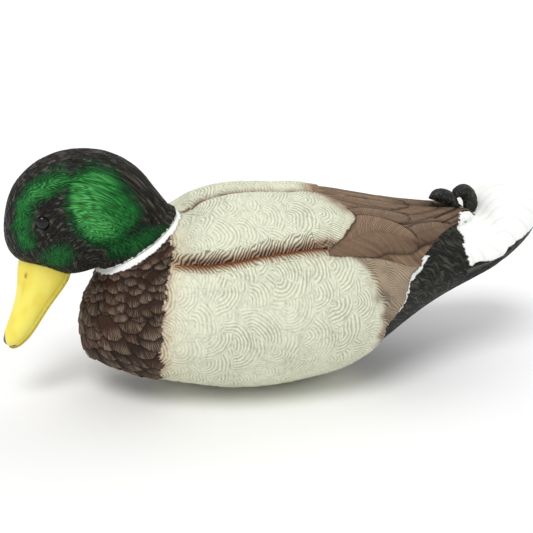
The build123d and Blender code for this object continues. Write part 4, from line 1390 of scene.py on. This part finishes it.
# ================= the curled tail feathers =================
# middle line and half thickness: x, z, half
CURL_FRONT = np.array([
    (-189.5, 113, 3.6), (-189, 120, 4.6), (-185.5, 127, 5.8), (-179.5, 132.4, 6.2),
    (-172, 133.8, 5.0), (-165.4, 132.0, 1.4),
])
CURL_REAR = np.array([
    (-203, 113, 5.2), (-203.4, 121, 6.0), (-202, 129.5, 6.4), (-196.6, 135.6, 6.0),
    (-190.6, 134.0, 4.6), (-188.8, 129.4, 1.8),
])
CURL_WIDE = 4.9


def curl_surface(path):
    count_rows, count_columns = 110, 84
    at = np.linspace(0, len(path) - INSIDE_LAST, count_rows)
    line = spline_matrix(len(path), False, at) @ path
    ahead = unit(np.gradient(line[:, :2], axis=0))
    outward = np.stack([-ahead[:, 1], ahead[:, 0]], axis=1)
    angle = turns(count_columns)
    share = at / (len(path) - 1)
    tip = np.sqrt(np.clip((1.002 - share) / 0.3, 0, 1))
    wide = CURL_WIDE * (0.55 + 0.45 * smooth_step(0.0, 0.5, share)) * tip
    half = line[:, 2] * np.sqrt(np.clip((1.002 - share) / 0.12, 0, 1))
    points = np.zeros((count_rows, count_columns, 3))
    lift = np.cos(angle)[None, :] * half[:, None]
    points[..., 0] = line[:, :1] + outward[:, :1] * lift
    points[..., 1] = -np.sin(angle)[None, :] * wide[:, None]
    points[..., 2] = line[:, 1:2] + outward[:, 1:2] * lift
    surface = Surface(points)
    surface.share = share[:, None] + angle[None, :] * 0
    surface.angle = angle[None, :] + share[:, None] * 0
    return surface


def build_curl(name, path, node):
    surface = curl_surface(path)
    coat = Coat(surface)
    length = surface.share * 42
    shaft = np.cos(surface.angle)
    wander = 2.2 * noise(length / 4, surface.angle * 1.6, 95)
    barb = (length * 0.9 - np.abs(surface.points[..., 1]) * 0.9) / 2.0 + wander
    coat.phase = barb
    coat.depth = 0.42 * smooth_step(0, 0.08, surface.share) * noise(length / 3, surface.angle * 3, 96)
    coat.tone = np.full(surface.shape, 0.5)
    coat.height = -0.7 * bell(surface.points[..., 1], 0.8) * (shaft > 0) \
        + 0.5 * (noise(length / 5 + 3, surface.angle * 2.2 + 7, 97) - 0.5)
    fleck = noise(barb, surface.angle * 4, 98)
    coat.colour = mix(filled(surface.shape, BLACK * 0.8), tint(96, 94, 86), 0.5 * smooth_step(0.5, 1, fleck))
    piece = closed_piece(name, coat, painted("paint_" + name, 0.45, 0.08, 0.1, Specular_IOR_Level=0.3), 0.6)
    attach(piece, "body")
    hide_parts(node)


# ================= the CAD pieces that show =================
def dress(material, *names):
    """Gives a material to CAD nodes that keep their own shape."""
    for name in names:
        mesh = frame["nodes"][name].data
        if not mesh.materials:
            mesh.materials.append(material)
        for slot in frame["nodes"][name].material_slots:
            slot.material = material


def dress_cad():
    eye = moulded("glossy_eye", (0.002, 0.002, 0.002), 0.06, 400.0, 0.0, 0.0, Specular_IOR_Level=0.35)
    dress(eye, "left_eye", "right_eye")
    dress(moulded("socket_plastic_look", (0.05, 0.05, 0.052), 0.45), "neck_socket")
    dress(moulded("spigot_plastic_look", (0.74, 0.73, 0.7), 0.38), "neck_spigot")
    dress(brushed("brass_look", (0.72, 0.5, 0.2), 0.32, (1, 1, 8)), "drain_bush")
    dress(moulded("lug_plastic_look", (0.06, 0.055, 0.05), 0.42), "line_lug")
    dress(moulded("tray_plastic_look", (0.42, 0.43, 0.4), 0.5), "ballast_tray")
    iron = moulded("cast_iron_look", (0.09, 0.085, 0.08), 0.7, 500.0, 0.0002, 0.25, Metallic=0.7)
    dress(iron, "ballast_weight")
    strap_steel = brushed("strap_steel_look", (0.6, 0.6, 0.58), 0.35, (8, 1, 1))
    dress(strap_steel, "ballast_strap_front", "ballast_strap_rear")
    dress(brushed("screw_steel_look", (0.62, 0.61, 0.58), 0.3, (1, 1, 6)), "ballast_screws", "spigot_screws")
    dress(brushed("ring_steel_look", (0.5, 0.51, 0.54), 0.28, (1, 6, 1)), "snap_ring")
    dress(moulded("plug_plastic_look", (0.05, 0.048, 0.045), 0.4), "drain_plug")
    dress(moulded("gasket_rubber_look", (0.025, 0.025, 0.025), 0.75), "drain_gasket", "neck_o_ring")


build_body()
build_head()
build_bill()
build_curl("curl_front", CURL_FRONT, "curl_feather_front")
build_curl("curl_rear", CURL_REAR, "curl_feather_rear")
dress_cad()

# ================= stage, lights and camera =================
VIEW_TURN, VIEW_RISE = math.radians(17.0), math.radians(20.0)
VIEW_DISTANCE = 0.85
LENS, SENSOR = 72, 36  # millimetres
FLOOR_HALF = 6.0
WORLD_STRENGTH = 0.66
VIEW_TARGET = Vector((-0.0285, -0.0045, 0.0858))


def look(obj, target):
    obj.rotation_euler = (target - obj.location).to_track_quat("-Z", "Y").to_euler()


def add_sun(name, place, spread, strength):
    """A soft far light that shines from place towards the object."""
    light = bpy.data.lights.new(name, "SUN")
    light.angle = math.radians(spread)
    light.energy = strength
    obj = bpy.data.objects.new(name, light)
    obj.location = place
    look(obj, Vector((0, 0, 0)))
    bpy.context.scene.collection.objects.link(obj)


def build_stage():
    mesh = bpy.data.meshes.new("floor")
    half = FLOOR_HALF
    corners = [(-half, -half, 0), (half, -half, 0), (half, half, 0), (-half, half, 0)]
    mesh.from_pydata(corners, [], [(0, 1, 2, 3)])
    floor = bpy.data.objects.new("floor", mesh)
    bpy.context.scene.collection.objects.link(floor)
    s = Shader("pale_floor", Roughness=0.9)
    s.plug(s.surface.inputs["Base Color"], s.blend(s.grain(3.0), (0.93, 0.93, 0.93), (0.95, 0.95, 0.95)))
    mesh.materials.append(s.material)
    world = bpy.data.worlds.new("studio")
    world.use_nodes = True
    back = world.node_tree.nodes["Background"]
    back.inputs[0].default_value = (1, 1, 1, 1)
    back.inputs[1].default_value = WORLD_STRENGTH
    bpy.context.scene.world = world
    add_sun("key", (0.35, 0.5, 1.0), 30.0, 1.5)
    add_sun("rim", (-0.5, -0.6, 0.9), 40.0, 0.35)
    camera = bpy.data.objects.new("camera", bpy.data.cameras.new("camera"))
    ray = Vector((math.cos(VIEW_RISE) * math.sin(VIEW_TURN), math.cos(VIEW_RISE) * math.cos(VIEW_TURN),
                  math.sin(VIEW_RISE)))
    camera.location = VIEW_TARGET + ray * VIEW_DISTANCE
    look(camera, VIEW_TARGET)
    camera.data.lens = LENS
    camera.data.sensor_width = SENSOR
    camera.data.clip_start = 0.01
    bpy.context.scene.collection.objects.link(camera)
    bpy.context.scene.camera = camera
    bpy.context.scene.view_settings.view_transform = "Standard"


build_stage()
